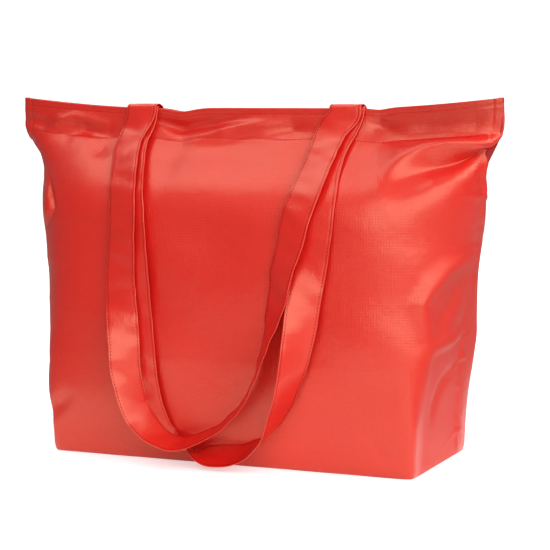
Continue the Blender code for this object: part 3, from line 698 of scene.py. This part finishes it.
class Finish:
    """A node material with short calls for the few nodes that it uses."""

    def __init__(self, name, colour, roughness, **sockets):
        self.material = bpy.data.materials.new(name)
        self.material.use_nodes = True
        self.tree = self.material.node_tree
        self.shader = self.tree.nodes["Principled BSDF"]
        self.set(self.shader, "Base Color", (*colour, 1.0))
        self.set(self.shader, "Roughness", roughness)
        for socket, value in sockets.items():
            self.set(self.shader, socket.replace("_", " "), value)

    def set(self, node, socket, value):
        """Puts a value on a socket, or links it if it is another node's output."""
        if isinstance(value, bpy.types.NodeSocket):
            self.tree.links.new(value, node.inputs[socket])
        else:
            node.inputs[socket].default_value = value

    def add(self, kind, output=0, settings=(), **sockets):
        """A node with its settings and sockets, and the output asked for."""
        node = self.tree.nodes.new(kind)
        for key, value in dict(settings).items():
            setattr(node, key, value)
        for socket, value in sockets.items():
            self.set(node, socket.replace("_", " "), value)
        return node.outputs[output]

    def math(self, operation, a, b=0.0):
        """One sum on two values."""
        node = self.tree.nodes.new("ShaderNodeMath")
        node.operation = operation
        self.set(node, 0, a)
        self.set(node, 1, b)
        return node.outputs[0]

    def plus(self, a, b):
        """a + b."""
        return self.math("ADD", a, b)

    def times(self, a, b):
        """a b."""
        return self.math("MULTIPLY", a, b)

    def ease(self, value, low, high, start=0.0, end=1.0):
        """A value brought smoothly from one range to another."""
        settings = {"interpolation_type": "SMOOTHSTEP"}
        return self.add("ShaderNodeMapRange", 0, settings, Value=value, From_Min=low, From_Max=high,
                        To_Min=start, To_Max=end)

    def noise(self, place, scale, detail, roughness=0.5):
        """Cloudy noise, with its scale in clouds to the metre."""
        return self.add("ShaderNodeTexNoise", Vector=place, Scale=scale, Detail=detail, Roughness=roughness)

    def mix(self, share, a, b):
        """A colour between two others."""
        node = self.tree.nodes.new("ShaderNodeMix")
        node.data_type = "RGBA"
        self.set(node, MIX_SHARE, share)
        for socket, value in ((MIX_A, a), (MIX_B, b)):
            self.set(node, socket, value if isinstance(value, bpy.types.NodeSocket) else (*value, 1.0))
        return node.outputs[MIX_RESULT]

    def bump(self, height, distance):
        """Relief of the given height in metres."""
        normal = self.add("ShaderNodeBump", Strength=1.0, Distance=distance, Height=height)
        self.set(self.shader, "Normal", normal)


def darker(colour, share):
    """A colour brought down to a share of its brightness."""
    return tuple(share * part for part in colour)


def cloth_map(finish):
    """A piece's own cloth map and its two lengths, in metres."""
    uv = finish.add("ShaderNodeUVMap", 0, {"uv_map": "cloth"})
    split = finish.tree.nodes.new("ShaderNodeSeparateXYZ")
    finish.set(split, 0, uv)
    return uv, split.outputs[0], split.outputs[1]


def thick_threads(finish, length):
    """1 on the thicker threads that cross a length of cloth, one to each pitch, and 0 between them."""
    saw = finish.math("FRACT", finish.math("DIVIDE", length, RIPSTOP_PITCH))
    return finish.ease(finish.math("ABSOLUTE", finish.math("SUBTRACT", saw, 0.5)), *THICK_THREAD)


def ripstop(name, colour, deep, hem=None, seam=None, grid_relief=PANEL_GRID_RELIEF):
    """Thin nylon with a raised square grid of thicker threads, a fine weave, slight crumple and uneven dye.

    Above the height hem of its map the cloth is double and a little deeper in tone, and painted shade of the
    ear folds darkens it further, most of all towards its right end.
    It is duller at its sides, which fold in when the bag is put away. At the distance seam from the middle of
    its map, under a row of stitches, painted shade darkens the groove.
    """
    finish = Finish(name, colour, 0.3, Specular_IOR_Level=1.0, Specular_Tint=NYLON_TINT)
    uv, u, v = cloth_map(finish)
    aside = finish.math("ABSOLUTE", u)
    grid = finish.math("MAXIMUM", thick_threads(finish, u), thick_threads(finish, v))
    crumple = finish.noise(uv, CRUMPLE_SCALE, 3.0, 0.55)
    dye = finish.noise(uv, DYE_SCALE, 2.0)
    weave = finish.noise(uv, WEAVE_SCALE, 1.0)
    base = finish.mix(finish.plus(finish.times(grid, GRID_SHADE), finish.times(dye, DYE_SHADE)), colour, deep)
    rough = finish.ease(weave, *NOISE_RANGE, *NYLON_ROUGHNESS)
    if hem:
        # Painted shade of the ear folds on the hem band, strongest towards its right end
        edge = finish.plus(v, finish.times(finish.math("SUBTRACT", dye, 0.5), HEM_SHADE_WANDER))
        painted_hem_shade = finish.ease(edge, hem + HEM_SHADE_FADE[0], hem + HEM_SHADE_FADE[1])
        painted_hem_shade = finish.times(painted_hem_shade, finish.ease(u, *HEM_SHADE_RIGHT_END, HEM_SHADE_LEFT_SHARE))
        base = finish.mix(painted_hem_shade, base, darker(deep, HEM_SHADE_TONE))
        dull = finish.ease(v, *SIDE_DULL_HEIGHT, SIDE_DULLNESS, 0.0)
        rough = finish.plus(rough, finish.times(finish.ease(aside, *SIDE_DULL_FROM), dull))
    if seam:
        # Painted shade in the groove under the handle's row of stitches
        near = finish.math("ABSOLUTE", finish.math("SUBTRACT", aside, seam))
        row = finish.ease(near, *STITCH_GROOVE_EDGE, 1.0, 0.0)
        base = finish.mix(finish.times(row, STITCH_GROOVE_SHADE), base, darker(deep, STITCH_GROOVE_TONE))
    finish.set(finish.shader, "Base Color", base)
    finish.set(finish.shader, "Roughness", rough)
    relief = finish.plus(finish.times(grid, grid_relief), finish.times(crumple, CRUMPLE_RELIEF))
    finish.bump(finish.plus(relief, finish.times(weave, WEAVE_RELIEF)), NYLON_RELIEF)
    return finish.material


def woven_tape(name, colour, deep):
    """Matte tape with slanted ribs along its map, a sine wave of under a millimetre."""
    finish = Finish(name, colour, 0.62, Sheen_Weight=0.2)
    _, u, v = cloth_map(finish)
    slant = finish.plus(finish.times(u, RIB_TURNS[0]), finish.times(v, RIB_TURNS[1]))
    rib = finish.plus(finish.times(finish.math("SINE", slant), 0.5), 0.5)
    finish.set(finish.shader, "Base Color", finish.mix(rib, deep, colour))
    finish.bump(rib, RIB_RELIEF)
    return finish.material


def thread(name, colour, deep):
    """Dull sewing thread, with the fine mottle of its twist on the piece's own place."""
    finish = Finish(name, colour, 0.65, Specular_IOR_Level=0.0)
    twist = finish.noise(finish.add("ShaderNodeTexCoord", "Object"), TWIST_SCALE, 1.0)
    finish.set(finish.shader, "Base Color", finish.mix(twist, deep, colour))
    finish.bump(twist, TWIST_RELIEF)
    return finish.material


def enamel(name, colour, deep, roughness, metallic=0.0):
    """Painted or moulded finish with a little unevenness and wear in its gloss."""
    finish = Finish(name, colour, roughness, Metallic=metallic)
    cloud = finish.noise(finish.add("ShaderNodeTexCoord", "Object"), ENAMEL_SCALE, 3.0)
    finish.set(finish.shader, "Base Color", finish.mix(cloud, deep, colour))
    worn = finish.ease(cloud, *NOISE_RANGE, roughness + ENAMEL_WEAR[0], roughness + ENAMEL_WEAR[1])
    finish.set(finish.shader, "Roughness", worn)
    finish.bump(cloud, ENAMEL_RELIEF)
    return finish.material


NYLON_COLOURS = (0.72, 0.013, 0.010), (0.64, 0.009, 0.007)
NYLON = ripstop("red_ripstop_nylon", *NYLON_COLOURS)
STRAP_NYLON = ripstop("red_strap_nylon", *NYLON_COLOURS, seam=HANDLE_ROW * STRAP_WIDTH / 2,
                      grid_relief=STRAP_GRID_RELIEF)
TAPE = woven_tape("red_woven_tape", (0.50, 0.018, 0.015), (0.36, 0.010, 0.009))
THREAD = thread("red_thread", (0.62, 0.011, 0.009), (0.50, 0.008, 0.006))
DEEP_THREAD = thread("deep_red_thread", (0.44, 0.007, 0.006), (0.34, 0.005, 0.004))
COIL = enamel("red_zip_coil", (0.46, 0.016, 0.014), (0.38, 0.010, 0.009), 0.38)
PAINT = enamel("red_painted_metal", (0.52, 0.018, 0.015), (0.42, 0.012, 0.010), 0.32, 0.35)


# Body of the bag


def dress(thing, node):
    """The piece stands for its solid, which it hides, and rides on the bag."""
    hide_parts(node)
    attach(thing, "bag")


def panel_heights():
    """Heights of the panel's rows, even along the cloth and closer together towards the hem."""
    fine = np.linspace(PANEL_FOOT, TOP_HEIGHT, 3000)
    slope = np.gradient(wall_y(FRONT, np.zeros_like(fine), fine), fine)
    closer = 1.0 + HEM_ROWS_GAIN * smooth((fine - HEM_ROWS_START) / HEM_ROWS_RUN)
    run = np.cumsum(np.sqrt(1.0 + slope ** 2) * closer)
    return np.interp(np.linspace(run[0], run[-1], PANEL_ROWS), run, fine)


def panel_points():
    """Both panels: the smooth filled face moved along its normals by the folds and the seam gathers.

    The columns lie closer together towards the side seams, by k (1 + gain (1 - k^2)). The panels meet at
    those seams, where each edge is drawn to the middle of the pair within a few millimetres.
    """
    heights = panel_heights()
    k = np.linspace(-1.0, 1.0, PANEL_COLUMNS)
    across = k * (1.0 + SEAM_COLUMNS_GAIN * (1.0 - k ** 2))
    z = heights[:, None]
    calm = smooth(z / GATHER_CALM) * smooth((GATHER_TOP - z) / GATHER_CALM)
    tuck = FOOT_TUCK * np.clip(1.0 - z / FOOT_TUCK_HEIGHT, 0.0, 1.0) ** 2
    panels = {}
    for side in (FRONT, REAR):
        points, s = outline(side, heights, across)
        half = s[:, -1:]
        seam = (gathers(s, z, half, -1) + gathers(s, z, half, 1)) * calm
        normals = grid_normals(points) * -side
        panels[side] = points + normals * (folds(side, s, z) + seam - tuck)[..., None], s
    for column in (0, -1):
        edges = {side: points[:, column].copy() for side, (points, _) in panels.items()}
        middle = (edges[FRONT] + edges[REAR]) / 2
        for side, (points, s) in panels.items():
            wanted = middle + np.array([0.0, side * SEAM_PARTING, 0.0])
            near = ridge(s - s[:, column, None], SEAM_DRAW)
            points += near[..., None] * (wanted - edges[side])[:, None]
    return panels


def turned_in(points, uv, inward, onward, steps, at_end):
    """The grid and its map with rows added that turn in from its first or last row by the given steps.

    A step is its reach along inward, its rise, and its run along the map in the direction onward.
    """
    row = -1 if at_end else 0
    extra = np.stack([points[row] + inward * reach + UP * rise for reach, rise, _ in steps])
    extra_uv = np.stack([uv[row] + np.array(onward) * run for _, _, run in steps])
    if at_end:
        return np.concatenate([points, extra]), np.concatenate([uv, extra_uv])
    return np.concatenate([extra[::-1], points]), np.concatenate([extra_uv[::-1], uv])


def make_panels():
    """The two body panels, each one sheet, turned in at its seams, over at the hem and under at the base."""
    panels = panel_points()
    for word, side in SIDES:
        points, s = panels[side]
        up = chords(points[:, PANEL_COLUMNS // 2])
        uv = np.stack([s, np.broadcast_to(up[:, None], s.shape)], axis=-1)
        points, uv = points.transpose(1, 0, 2), uv.transpose(1, 0, 2)
        points, uv = turned_in(points, uv, RIGHT, (-1.0, 0.0), SEAM_TURN, False)
        points, uv = turned_in(points, uv, -RIGHT, (1.0, 0.0), SEAM_TURN, True)
        points, uv = points.transpose(1, 0, 2), uv.transpose(1, 0, 2)
        # The turned-in columns and the seam's own take the direction of the cloth beside them
        level = grid_normals(points) * -side
        level[..., 2] = 0.0
        beside = len(SEAM_TURN) + 1
        level[:, :beside], level[:, -beside:] = level[:, beside, None], level[:, -beside - 1, None]
        top, foot = -unit(level[-1]), -unit(level[0])
        points, uv = turned_in(points, uv, top, (0.0, 1.0), HEM_TURN, True)
        points, uv = turned_in(points, uv, foot, (0.0, -1.0), FOOT_TURN, False)
        rows, columns = points.shape[:2]
        # The panel's nylon carries painted shade on its hem band
        painted_hem_shade = ripstop(f"red_{word}_panel_nylon", *NYLON_COLOURS, up[-1] - HEM_HEIGHT - HEM_FOOT_GAP)
        thing = mesh_piece(word + "_panel_cloth", points, grid_faces(rows, columns, side == REAR), painted_hem_shade, uv)
        dress(thing, word + "_panel")


def make_base():
    """The base panel: the bag's outline at the floor, drawn in to its middle, uneven by slow sine waves."""
    loop = whole_outline(np.array([BASE_LOOP_HEIGHT]), np.linspace(-1.0, 1.0, 61))[0, :, :2]
    share = np.linspace(1.0, BASE_CENTRE_SHARE, 26)[:, None, None] ** BASE_RING_POWER
    flat = loop.mean(axis=0) + (loop - loop.mean(axis=0)) * BASE_SHARE * share
    z = BASE_LIFT + BASE_SAG * np.prod(np.sin(flat * BASE_SAG_TURNS), axis=-1, keepdims=True)
    points = np.concatenate([flat, z], axis=-1)
    rows, columns = points.shape[:2]
    faces = grid_faces(rows, columns, flip=True, close_columns=True)
    faces.append(list(range((rows - 1) * columns, rows * columns))[::-1])
    thing = mesh_piece("base_cloth", points, faces, NYLON, flat)
    dress(thing, "base_panel")


def make_hem():
    """Facings, sewn handle ends and zip tapes: layers inside the panels, folded with them."""
    for word, side in SIDES:
        make_facing(word, side)
        make_handle_ends(word, side)
        make_zip_tape(word, side)


def make_facing(word, side):
    """The strip inside the top edge, which rises with the ears, a little less at its foot."""
    across = np.linspace(-FACING_HALF_LENGTH, FACING_HALF_LENGTH, 157)
    heights = np.linspace(TOP_HEIGHT - LAYER_DROP, TOP_HEIGHT - HEM_HEIGHT, 25)[:, None]
    share = np.linspace(1.0, FACING_FOOT_LIFT, len(heights))[:, None]
    facing = inside_wall(side, across, heights + share * ear_lift(across, TOP_HEIGHT), FACING_INSET)
    thing = strip(word + "_hem_facing_cloth", facing, NYLON, FACING_CLOTH, side == REAR)
    dress(thing, word + "_hem_facing")


def make_handle_ends(word, side):
    """The two ends of a handle, flat between the panel and its facing."""
    route = HANDLE_ROUTE[side]
    for hand, stop in (("left", route[0]), ("right", route[-1])):
        columns = stop[0] / 1000 + np.linspace(-0.5, 0.5, 13) * STRAP_WIDTH
        x, z = np.meshgrid(columns, np.linspace(TOP_HEIGHT - LAYER_DROP, TOP_HEIGHT - STRAP_END_LENGTH, 13))
        tail = inside_wall(side, x, z, STRAP_END_INSET)
        thing = strip(f"{word}_handle_{hand}_tail", tail, NYLON, STRAP_END_CLOTH)
        dress(thing, f"{word}_handle_{hand}_end")


def make_zip_tape(word, side):
    """Half of the zip's tape: a leg down the facing and a flange that reaches in from its top to the coil."""
    reach = ZIP_HALF_LENGTH + TAPE_OVERRUN
    x, z = np.meshgrid(np.linspace(-reach, reach, 141), np.linspace(ZIP_HEIGHT, ZIP_HEIGHT - TAPE_DROP, 8))
    leg = inside_wall(side, x, z, TAPE_INSET)
    outward = np.array([0.0, 0.45, 0.85])[:, None]
    flange = np.repeat(leg[:1], len(outward), axis=0)
    inner = TOP_LEAN + side * TAPE_INNER
    flange[..., 1] = inner + (leg[:1, :, 1] - inner) * outward
    thing = strip(word + "_zip_tape_cloth", np.concatenate([flange, leg]), TAPE, ZIP_TAPE_CLOTH, side == REAR)
    dress(thing, word + "_zip_tape")


def make_bindings():
    """Woven tape folded over the seam allowances: a narrow loop in section, carried along each seam.

    The section is a list of points, each with its share of the tape's depth and of its thickness.
    """
    profile = np.array([(0.0, -0.5), (0.35, -0.5), (0.7, -0.5), (0.93, -0.4), (1.0, 0.0), (0.93, 0.4),
                        (0.7, 0.5), (0.35, 0.5), (0.0, 0.5)])
    heights = np.linspace(SIDE_TAPE_FOOT, SIDE_TAPE_TOP, 120)
    half_width, _, _, _, seam = (v[:, None] for v in section(heights, REAR))
    heights = heights[:, None]
    for word, end in (("left", -1), ("right", 1)):
        x = end * (half_width - SIDE_TAPE_CLEAR - BINDING_DEPTH * profile[:, 0])
        x = x + left_draw(x, heights)
        y = seam + SIDE_TAPE_THICKNESS * profile[:, 1]
        points = np.stack([x, y, heights + ear_lift(x, heights)], axis=-1)
        thing = strip(word + "_side_tape", points, TAPE, flip=end == 1)
        dress(thing, word + "_side_binding")
    depth, thick = profile[::-1].T
    heights = BASE_TAPE_LIFT + BINDING_DEPTH * depth
    loops = whole_outline(heights, np.linspace(-1.0, 1.0, 181))
    step = np.roll(loops, -1, axis=1) - np.roll(loops, 1, axis=1)
    inward = unit(np.stack([-step[..., 1], step[..., 0], np.zeros(step.shape[:2])], axis=-1))
    rings = loops + inward * BASE_TAPE_INSET
    rings[..., 2] = heights[:, None]
    rings += BASE_TAPE_THICKNESS * thick[:, None, None] * unit(rings * [1.0, 1.0, 0.0])
    rows, columns = rings.shape[:2]
    u, v = np.meshgrid(np.linspace(0.0, BASE_TAPE_CUT[0], columns), np.linspace(0.0, BASE_TAPE_CUT[1], rows))
    faces = grid_faces(rows, columns, close_columns=True)
    thing = mesh_piece("base_seam_tape", rings, faces, TAPE, np.stack([u, v], axis=-1))
    dress(thing, "base_seam_binding")


def make_pocket():
    """The flat pocket inside the rear panel, slack by half a sine wave each way, and its mouth's tape."""
    across = np.linspace(-POCKET_HALF_WIDTH, POCKET_HALF_WIDTH, 61)
    x, z = np.meshgrid(across, np.linspace(POCKET_BOTTOM, POCKET_TOP, 53))
    slack = POCKET_SLACK * np.sin((x / POCKET_HALF_WIDTH + 1.0) * math.pi / 2)
    slack = slack * np.sin((z - POCKET_BOTTOM) * POCKET_SLACK_TURN)
    pocket = inside_wall(REAR, x, z, POCKET_INSET + slack)
    thing = strip("stow_pocket_cloth", pocket, NYLON, POCKET_CLOTH, True)
    dress(thing, "stow_pocket")
    x, z = np.meshgrid(across, np.linspace(POCKET_TOP - POCKET_TAPE_CUT[1], POCKET_TOP, 7))
    tape = inside_wall(REAR, x, z, POCKET_INSET + POCKET_TAPE_CLEAR)
    thing = strip("stow_pocket_tape", tape, TAPE, POCKET_TAPE_CLOTH, True)
    dress(thing, "stow_pocket_binding")


def hem_stitching():
    """The two rows of stitching on each panel, one near the top edge and one at the foot of the hem."""
    for word, side in SIDES:
        lines = []
        for drop, reach in ((TOP_ROW_DROP, TOP_ROW_REACH), (HEM_HEIGHT, FOOT_ROW_REACH)):
            x = np.linspace(-reach, reach, 600)
            z = TOP_HEIGHT - drop + ear_lift(x, TOP_HEIGHT - drop)
            lines.append((inside_wall(side, x, z, -HEM_ROW_LIFT), wall_normal(side, x, z)))
        thing = stitches(word + "_hem_stitching", lines, THREAD, *HEM_STITCH)
        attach(thing, "bag")


# Handles


def hermite(knots, chord, spots):
    """Cubic curve through knots, with slopes from central differences along the chord."""
    slope = np.gradient(knots, chord, axis=0)
    span = np.clip(np.searchsorted(chord, spots, side="right") - 1, 0, len(chord) - 2)
    length = (chord[span + 1] - chord[span])[:, None]
    t = (spots - chord[span])[:, None] / length
    return ((2 * t ** 3 - 3 * t ** 2 + 1) * knots[span] + (t ** 3 - 2 * t ** 2 + t) * length * slope[span]
            + (3 * t ** 2 - 2 * t ** 3) * knots[span + 1] + (t ** 3 - t ** 2) * length * slope[span + 1])


def handle_axis(side):
    """A point on the line that a handle turns about, just over the top edge and above its sewn ends."""
    start = HANDLE_ROUTE[side][0]
    return np.array([0.0, wall_y(side, start[0] / 1000, TOP_HEIGHT) - side * STRAP_END_INSET, AXIS_HEIGHT])


def hanging_line(route, standoff):
    """A handle's middle line on the front, with the direction of its edge and its width at each point.

    It keeps its distance from the folded cloth, and turns about its own line where it hangs clear: its edge
    is outward cos(turn) - normal sin(turn), and level near its two ends.
    """
    knots = np.array(route, float) * ROUTE_UNITS
    chord = chords(knots[:, :2])
    spots = np.linspace(0.0, chord[-1], int(chord[-1] / ROUTE_STEP))
    x, z, turn, share, clear = hermite(knots, chord, spots).T
    width = STRAP_WIDTH * np.minimum(share, 1.0)
    under = np.max([folds(FRONT, x + shift * width, z) for shift in np.linspace(-0.5, 0.5, 5)], axis=0)
    padded = np.pad(under, SMOOTHING_SPAN // 2, "edge")
    under = np.convolve(padded, np.full(SMOOTHING_SPAN, 1 / SMOOTHING_SPAN), "valid")
    normal = wall_normal(FRONT, x, z)
    away = standoff + clear + np.maximum(under, 0.0) + width / 2 * np.abs(np.sin(turn))
    place = np.column_stack([x, wall_y(FRONT, x, z), z]) + normal * away[:, None]
    outward = unit(np.cross(np.gradient(place, axis=0), normal))
    run = chords(np.column_stack([x, z]))
    clear_of_ends = smooth(np.minimum(run, run[-1] - run) / LEVEL_RUN)[:, None]
    level = np.where(run < run[-1] / 2, -1.0, 1.0)[:, None] * RIGHT
    outward = unit(outward * clear_of_ends + level * (1.0 - clear_of_ends))
    return place, outward * np.cos(turn)[:, None] - normal * np.sin(turn)[:, None], width


def handle_frame(side, standoff, turn):
    """A handle from hem to hem: run, middle line, directions along, of its edge and of its face, and width.

    Its hanging line is joined to the turns over the top edge, and a cubic curve is put through them all.
    """
    route = HANDLE_ROUTE[side]
    place, edge, width = hanging_line(route, standoff)
    over = handle_axis(side) + np.insert(np.array(turn) / 1000, 0, 0.0, axis=1)
    start, end = (over + RIGHT * stop[0] / 1000 for stop in (route[0], route[-1]))
    left = np.tile(-RIGHT, (len(over), 1))
    full = np.full(len(over), STRAP_WIDTH)
    # The hanging line's outermost points give way to the turns
    place = np.concatenate([start, place[HANGING_PART], end[::-1]])
    edge = np.concatenate([left, edge[HANGING_PART], -left])
    width = np.concatenate([full, width[HANGING_PART], full])
    chord = chords(place)
    run = np.linspace(0.0, chord[-1], int(chord[-1] / RIBBON_STEP))
    fine = hermite(np.column_stack([place, edge, width]), chord, run)
    place, edge, width = fine[:, :3], unit(fine[:, 3:6]), fine[:, 6]
    along = unit(np.gradient(place, axis=0))
    # Where the edge leans along the run, it is longer, so that the ribbon keeps its width
    width = width / np.sqrt(1.0 - np.minimum(np.sum(edge * along, axis=1) ** 2, 0.5))
    return run, place, edge, unit(np.cross(edge, along)), width


def crumple(run, across, seed):
    """Soft creases of a handle: slanted waves of uneven length, quiet at its sewn ends."""
    dice = np.random.default_rng(seed)
    lift = np.zeros(np.broadcast(run, across).shape)
    for _ in range(CREASE_COUNT):
        turns = 2 * math.pi / dice.uniform(*CREASE_LENGTH)
        slant, phase = dice.uniform(*CREASE_SLANT), dice.uniform(0.0, 2 * math.pi)
        lift += dice.uniform(*CREASE_SHARE) * np.sin(turns * run + slant * across + phase)
    ends = smooth(run / CREASE_CALM) * smooth((np.max(run) - run) / CREASE_CALM)
    return CREASE_HEIGHT * lift * ends


def make_handle(word, side, standoff, turn):
    """A folded strap: its section has beaded edges, grooves under the stitching and a low crown between."""
    run, place, edge, face, width = handle_frame(side, standoff, turn)
    half = np.linspace(-STRAP_FLAT, STRAP_FLAT, 33)
    depth = STRAP_HALF_THICKNESS + STRAP_CROWN * (1.0 - half ** 2)
    depth = depth - STRAP_GROOVE * ridge(np.abs(half) - HANDLE_ROW, STRAP_GROOVE_WIDTH)
    across = np.concatenate([half, STRAP_BEAD, half[::-1], -STRAP_BEAD])
    out = np.concatenate([depth, STRAP_BEAD_OUT, -depth[::-1], -STRAP_BEAD_OUT])

    def on_strap(share, offset):
        """Points at shares of the half width, moved off the middle along the face and by the creases."""
        lift = offset + crumple(run[:, None], share, CREASE_SEED[side])
        return (place[:, None] + edge[:, None] * (width[:, None] / 2 * share)[..., None]
                + face[:, None] * lift[..., None])

    uv = np.stack(np.broadcast_arrays(across * STRAP_WIDTH / 2, run[:, None]), axis=-1)
    thing = tube(word + "_handle_strap_cloth", on_strap(across, out), STRAP_NYLON, uv)
    lines = []
    for share in (-HANDLE_ROW, HANDLE_ROW):
        for turned in (1.0, -1.0):
            line = on_strap(np.array([share]), turned * HANDLE_ROW_OUT)[:, 0]
            lines.append((line[HANDLE_ROW_RUN], face[HANDLE_ROW_RUN] * turned))
    seam = stitches(word + "_handle_stitching", lines, DEEP_THREAD, *HANDLE_STITCH)
    for item in (thing, seam):
        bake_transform(item)
    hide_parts(word + "_handle")


# Zip


def make_coils():
    """Each coil is a thread wound round a flat oval along X, one turn to the pitch."""
    turns = int(2 * ZIP_HALF_LENGTH / COIL_PITCH)
    t = np.linspace(0.0, turns, turns * 9 + 1)
    angle = 2 * math.pi * t
    reach = ZIP_HALF_LENGTH - COIL_END_GAP
    x = -reach + 2 * reach * t / turns
    ring = circle(5)[:, None]
    for word, side in SIDES:
        y = TOP_LEAN + side * (COIL_MIDDLE + COIL_HALF_DEPTH * np.cos(angle))
        line = np.column_stack([x, y, ZIP_HEIGHT + COIL_HALF_HEIGHT * np.sin(angle)])
        along = unit(np.gradient(line, axis=0))
        oval = [0 * x, side * np.cos(angle) / COIL_HALF_DEPTH, np.sin(angle) / COIL_HALF_HEIGHT]
        out = unit(np.column_stack(oval))
        beside = unit(np.cross(along, out))
        rings = np.cos(ring) * out[:, None] + np.sin(ring) * beside[:, None]
        thing = tube(word + "_zip_coil_teeth", line[:, None] + COIL_THREAD_RADIUS * rings, COIL)
        dress(thing, word + "_zip_coil")


def finish_zip_metal():
    """The end stops, slider and pull keep their solids, with a worn enamel finish."""
    for node in ("left_zip_stop", "right_zip_stop", "zip_slider", "zip_pull_tab"):
        thing = bpy.data.objects[node]
        thing.data.materials.clear()
        thing.data.materials.append(PAINT)


# Stage


def direction(azimuth, elevation):
    """Unit vector from the middle, turned round from the front and up, in degrees."""
    turn, rise = math.radians(azimuth), math.radians(elevation)
    return np.array([math.sin(turn) * math.cos(rise), -math.cos(turn) * math.cos(rise), math.sin(rise)])


def aim(thing, place, target):
    """Sets a lamp or camera at a place, looking at its target."""
    bpy.context.collection.objects.link(thing)
    thing.location = place
    thing.rotation_euler = Vector(target - place).to_track_quat("-Z", "Y").to_euler()


def make_floor():
    """White paper under the bag, which widens behind it and curves up far away, on a pale ground.

    The paper's run is flat, then a quarter circle, then straight up. It glows only where it is seen or
    mirrored, more with the distance, so that it looks white and still takes the bag's shadow.
    """
    turn = math.radians(CAMERA_AZIMUTH)
    rows, columns = PAPER_GRID
    share, run = np.meshgrid(np.linspace(-1.0, 1.0, columns), np.linspace(*PAPER_RUN, rows))
    past = np.maximum(run - SWEEP_FLAT, 0.0)
    bend = np.minimum(past / SWEEP_RADIUS, math.pi / 2)
    spread = PAPER_SPREAD * run + PAPER_FAR_SPREAD * np.maximum(run - PAPER_FAR, 0.0)
    wide = share * (PAPER_HALF_WIDTH + spread)
    deep = np.minimum(run, SWEEP_FLAT) + SWEEP_RADIUS * np.sin(bend)
    z = SWEEP_RADIUS * (1.0 - np.cos(bend)) + np.maximum(past - SWEEP_RADIUS * math.pi / 2, 0.0)
    x = wide * math.cos(turn) - deep * math.sin(turn)
    y = wide * math.sin(turn) + deep * math.cos(turn)
    sheet = np.stack([x, y, z], axis=-1)
    paper = Finish("white_paper", (0.9, 0.9, 0.9), 0.9, Emission_Color=(1.0, 1.0, 1.0, 1.0))
    path = paper.tree.nodes.new("ShaderNodeLightPath")
    mirrored = paper.math("MAXIMUM", path.outputs["Is Glossy Ray"], path.outputs["Is Transmission Ray"])
    seen = paper.math("MAXIMUM", path.outputs["Is Camera Ray"], mirrored)
    place = paper.add("ShaderNodeTexCoord", "Object")
    away = paper.add("ShaderNodeVectorMath", "Value", {"operation": "LENGTH"}, Vector=place)
    paper.set(paper.shader, "Emission Strength", paper.times(seen, paper.ease(away, *GLOW_REACH, *GLOW)))
    mesh_piece("paper_sweep", sheet, grid_faces(rows, columns), paper.material)
    corners = np.array([(-1.0, -1.0, 0.0), (1.0, -1.0, 0.0), (1.0, 1.0, 0.0), (-1.0, 1.0, 0.0)])
    corners = corners * GROUND_REACH - UP * GROUND_DROP
    ground = Finish("pale_ground", (0.45, 0.45, 0.45), 0.9)
    mesh_piece("studio_floor", corners, [[0, 1, 2, 3]], ground.material)


def make_light():
    """An even white world, and soft lamps in front, beside, above and behind."""
    world = bpy.data.worlds.new("studio")
    world.use_nodes = True
    bpy.context.scene.world = world
    background = world.node_tree.nodes["Background"]
    background.inputs["Color"].default_value = (1.0, 1.0, 1.0, 1.0)
    background.inputs["Strength"].default_value = WORLD_LIGHT
    for name, azimuth, elevation, away, width, height, power in LAMPS:
        lamp = bpy.data.lights.new(name, "AREA")
        lamp.shape = "RECTANGLE"
        lamp.size, lamp.size_y, lamp.energy = width, height, power
        thing = bpy.data.objects.new(name, lamp)
        aim(thing, LAMP_TARGET + direction(azimuth, elevation) * away, LAMP_TARGET)


def make_camera():
    """The camera at the picture's angle, aimed a little to the right of the middle."""
    lens = bpy.data.cameras.new("camera")
    lens.lens, lens.sensor_width = CAMERA_LENS, CAMERA_SENSOR
    camera = bpy.data.objects.new("camera", lens)
    target = direction(CAMERA_AZIMUTH + 90.0, 0.0) * TARGET_ACROSS + UP * TARGET_HEIGHT
    aim(camera, target + direction(CAMERA_AZIMUTH, CAMERA_ELEVATION) * CAMERA_AWAY, target)
    bpy.context.scene.camera = camera
    bpy.context.scene.view_settings.view_transform = "Standard"


make_floor()
make_light()
make_camera()
make_panels()
make_base()
make_hem()
make_bindings()
make_pocket()
hem_stitching()
make_handle("front", FRONT, FRONT_STANDOFF, FRONT_TURN)
make_handle("rear", REAR, REAR_STANDOFF, REAR_TURN)
make_coils()
finish_zip_metal()
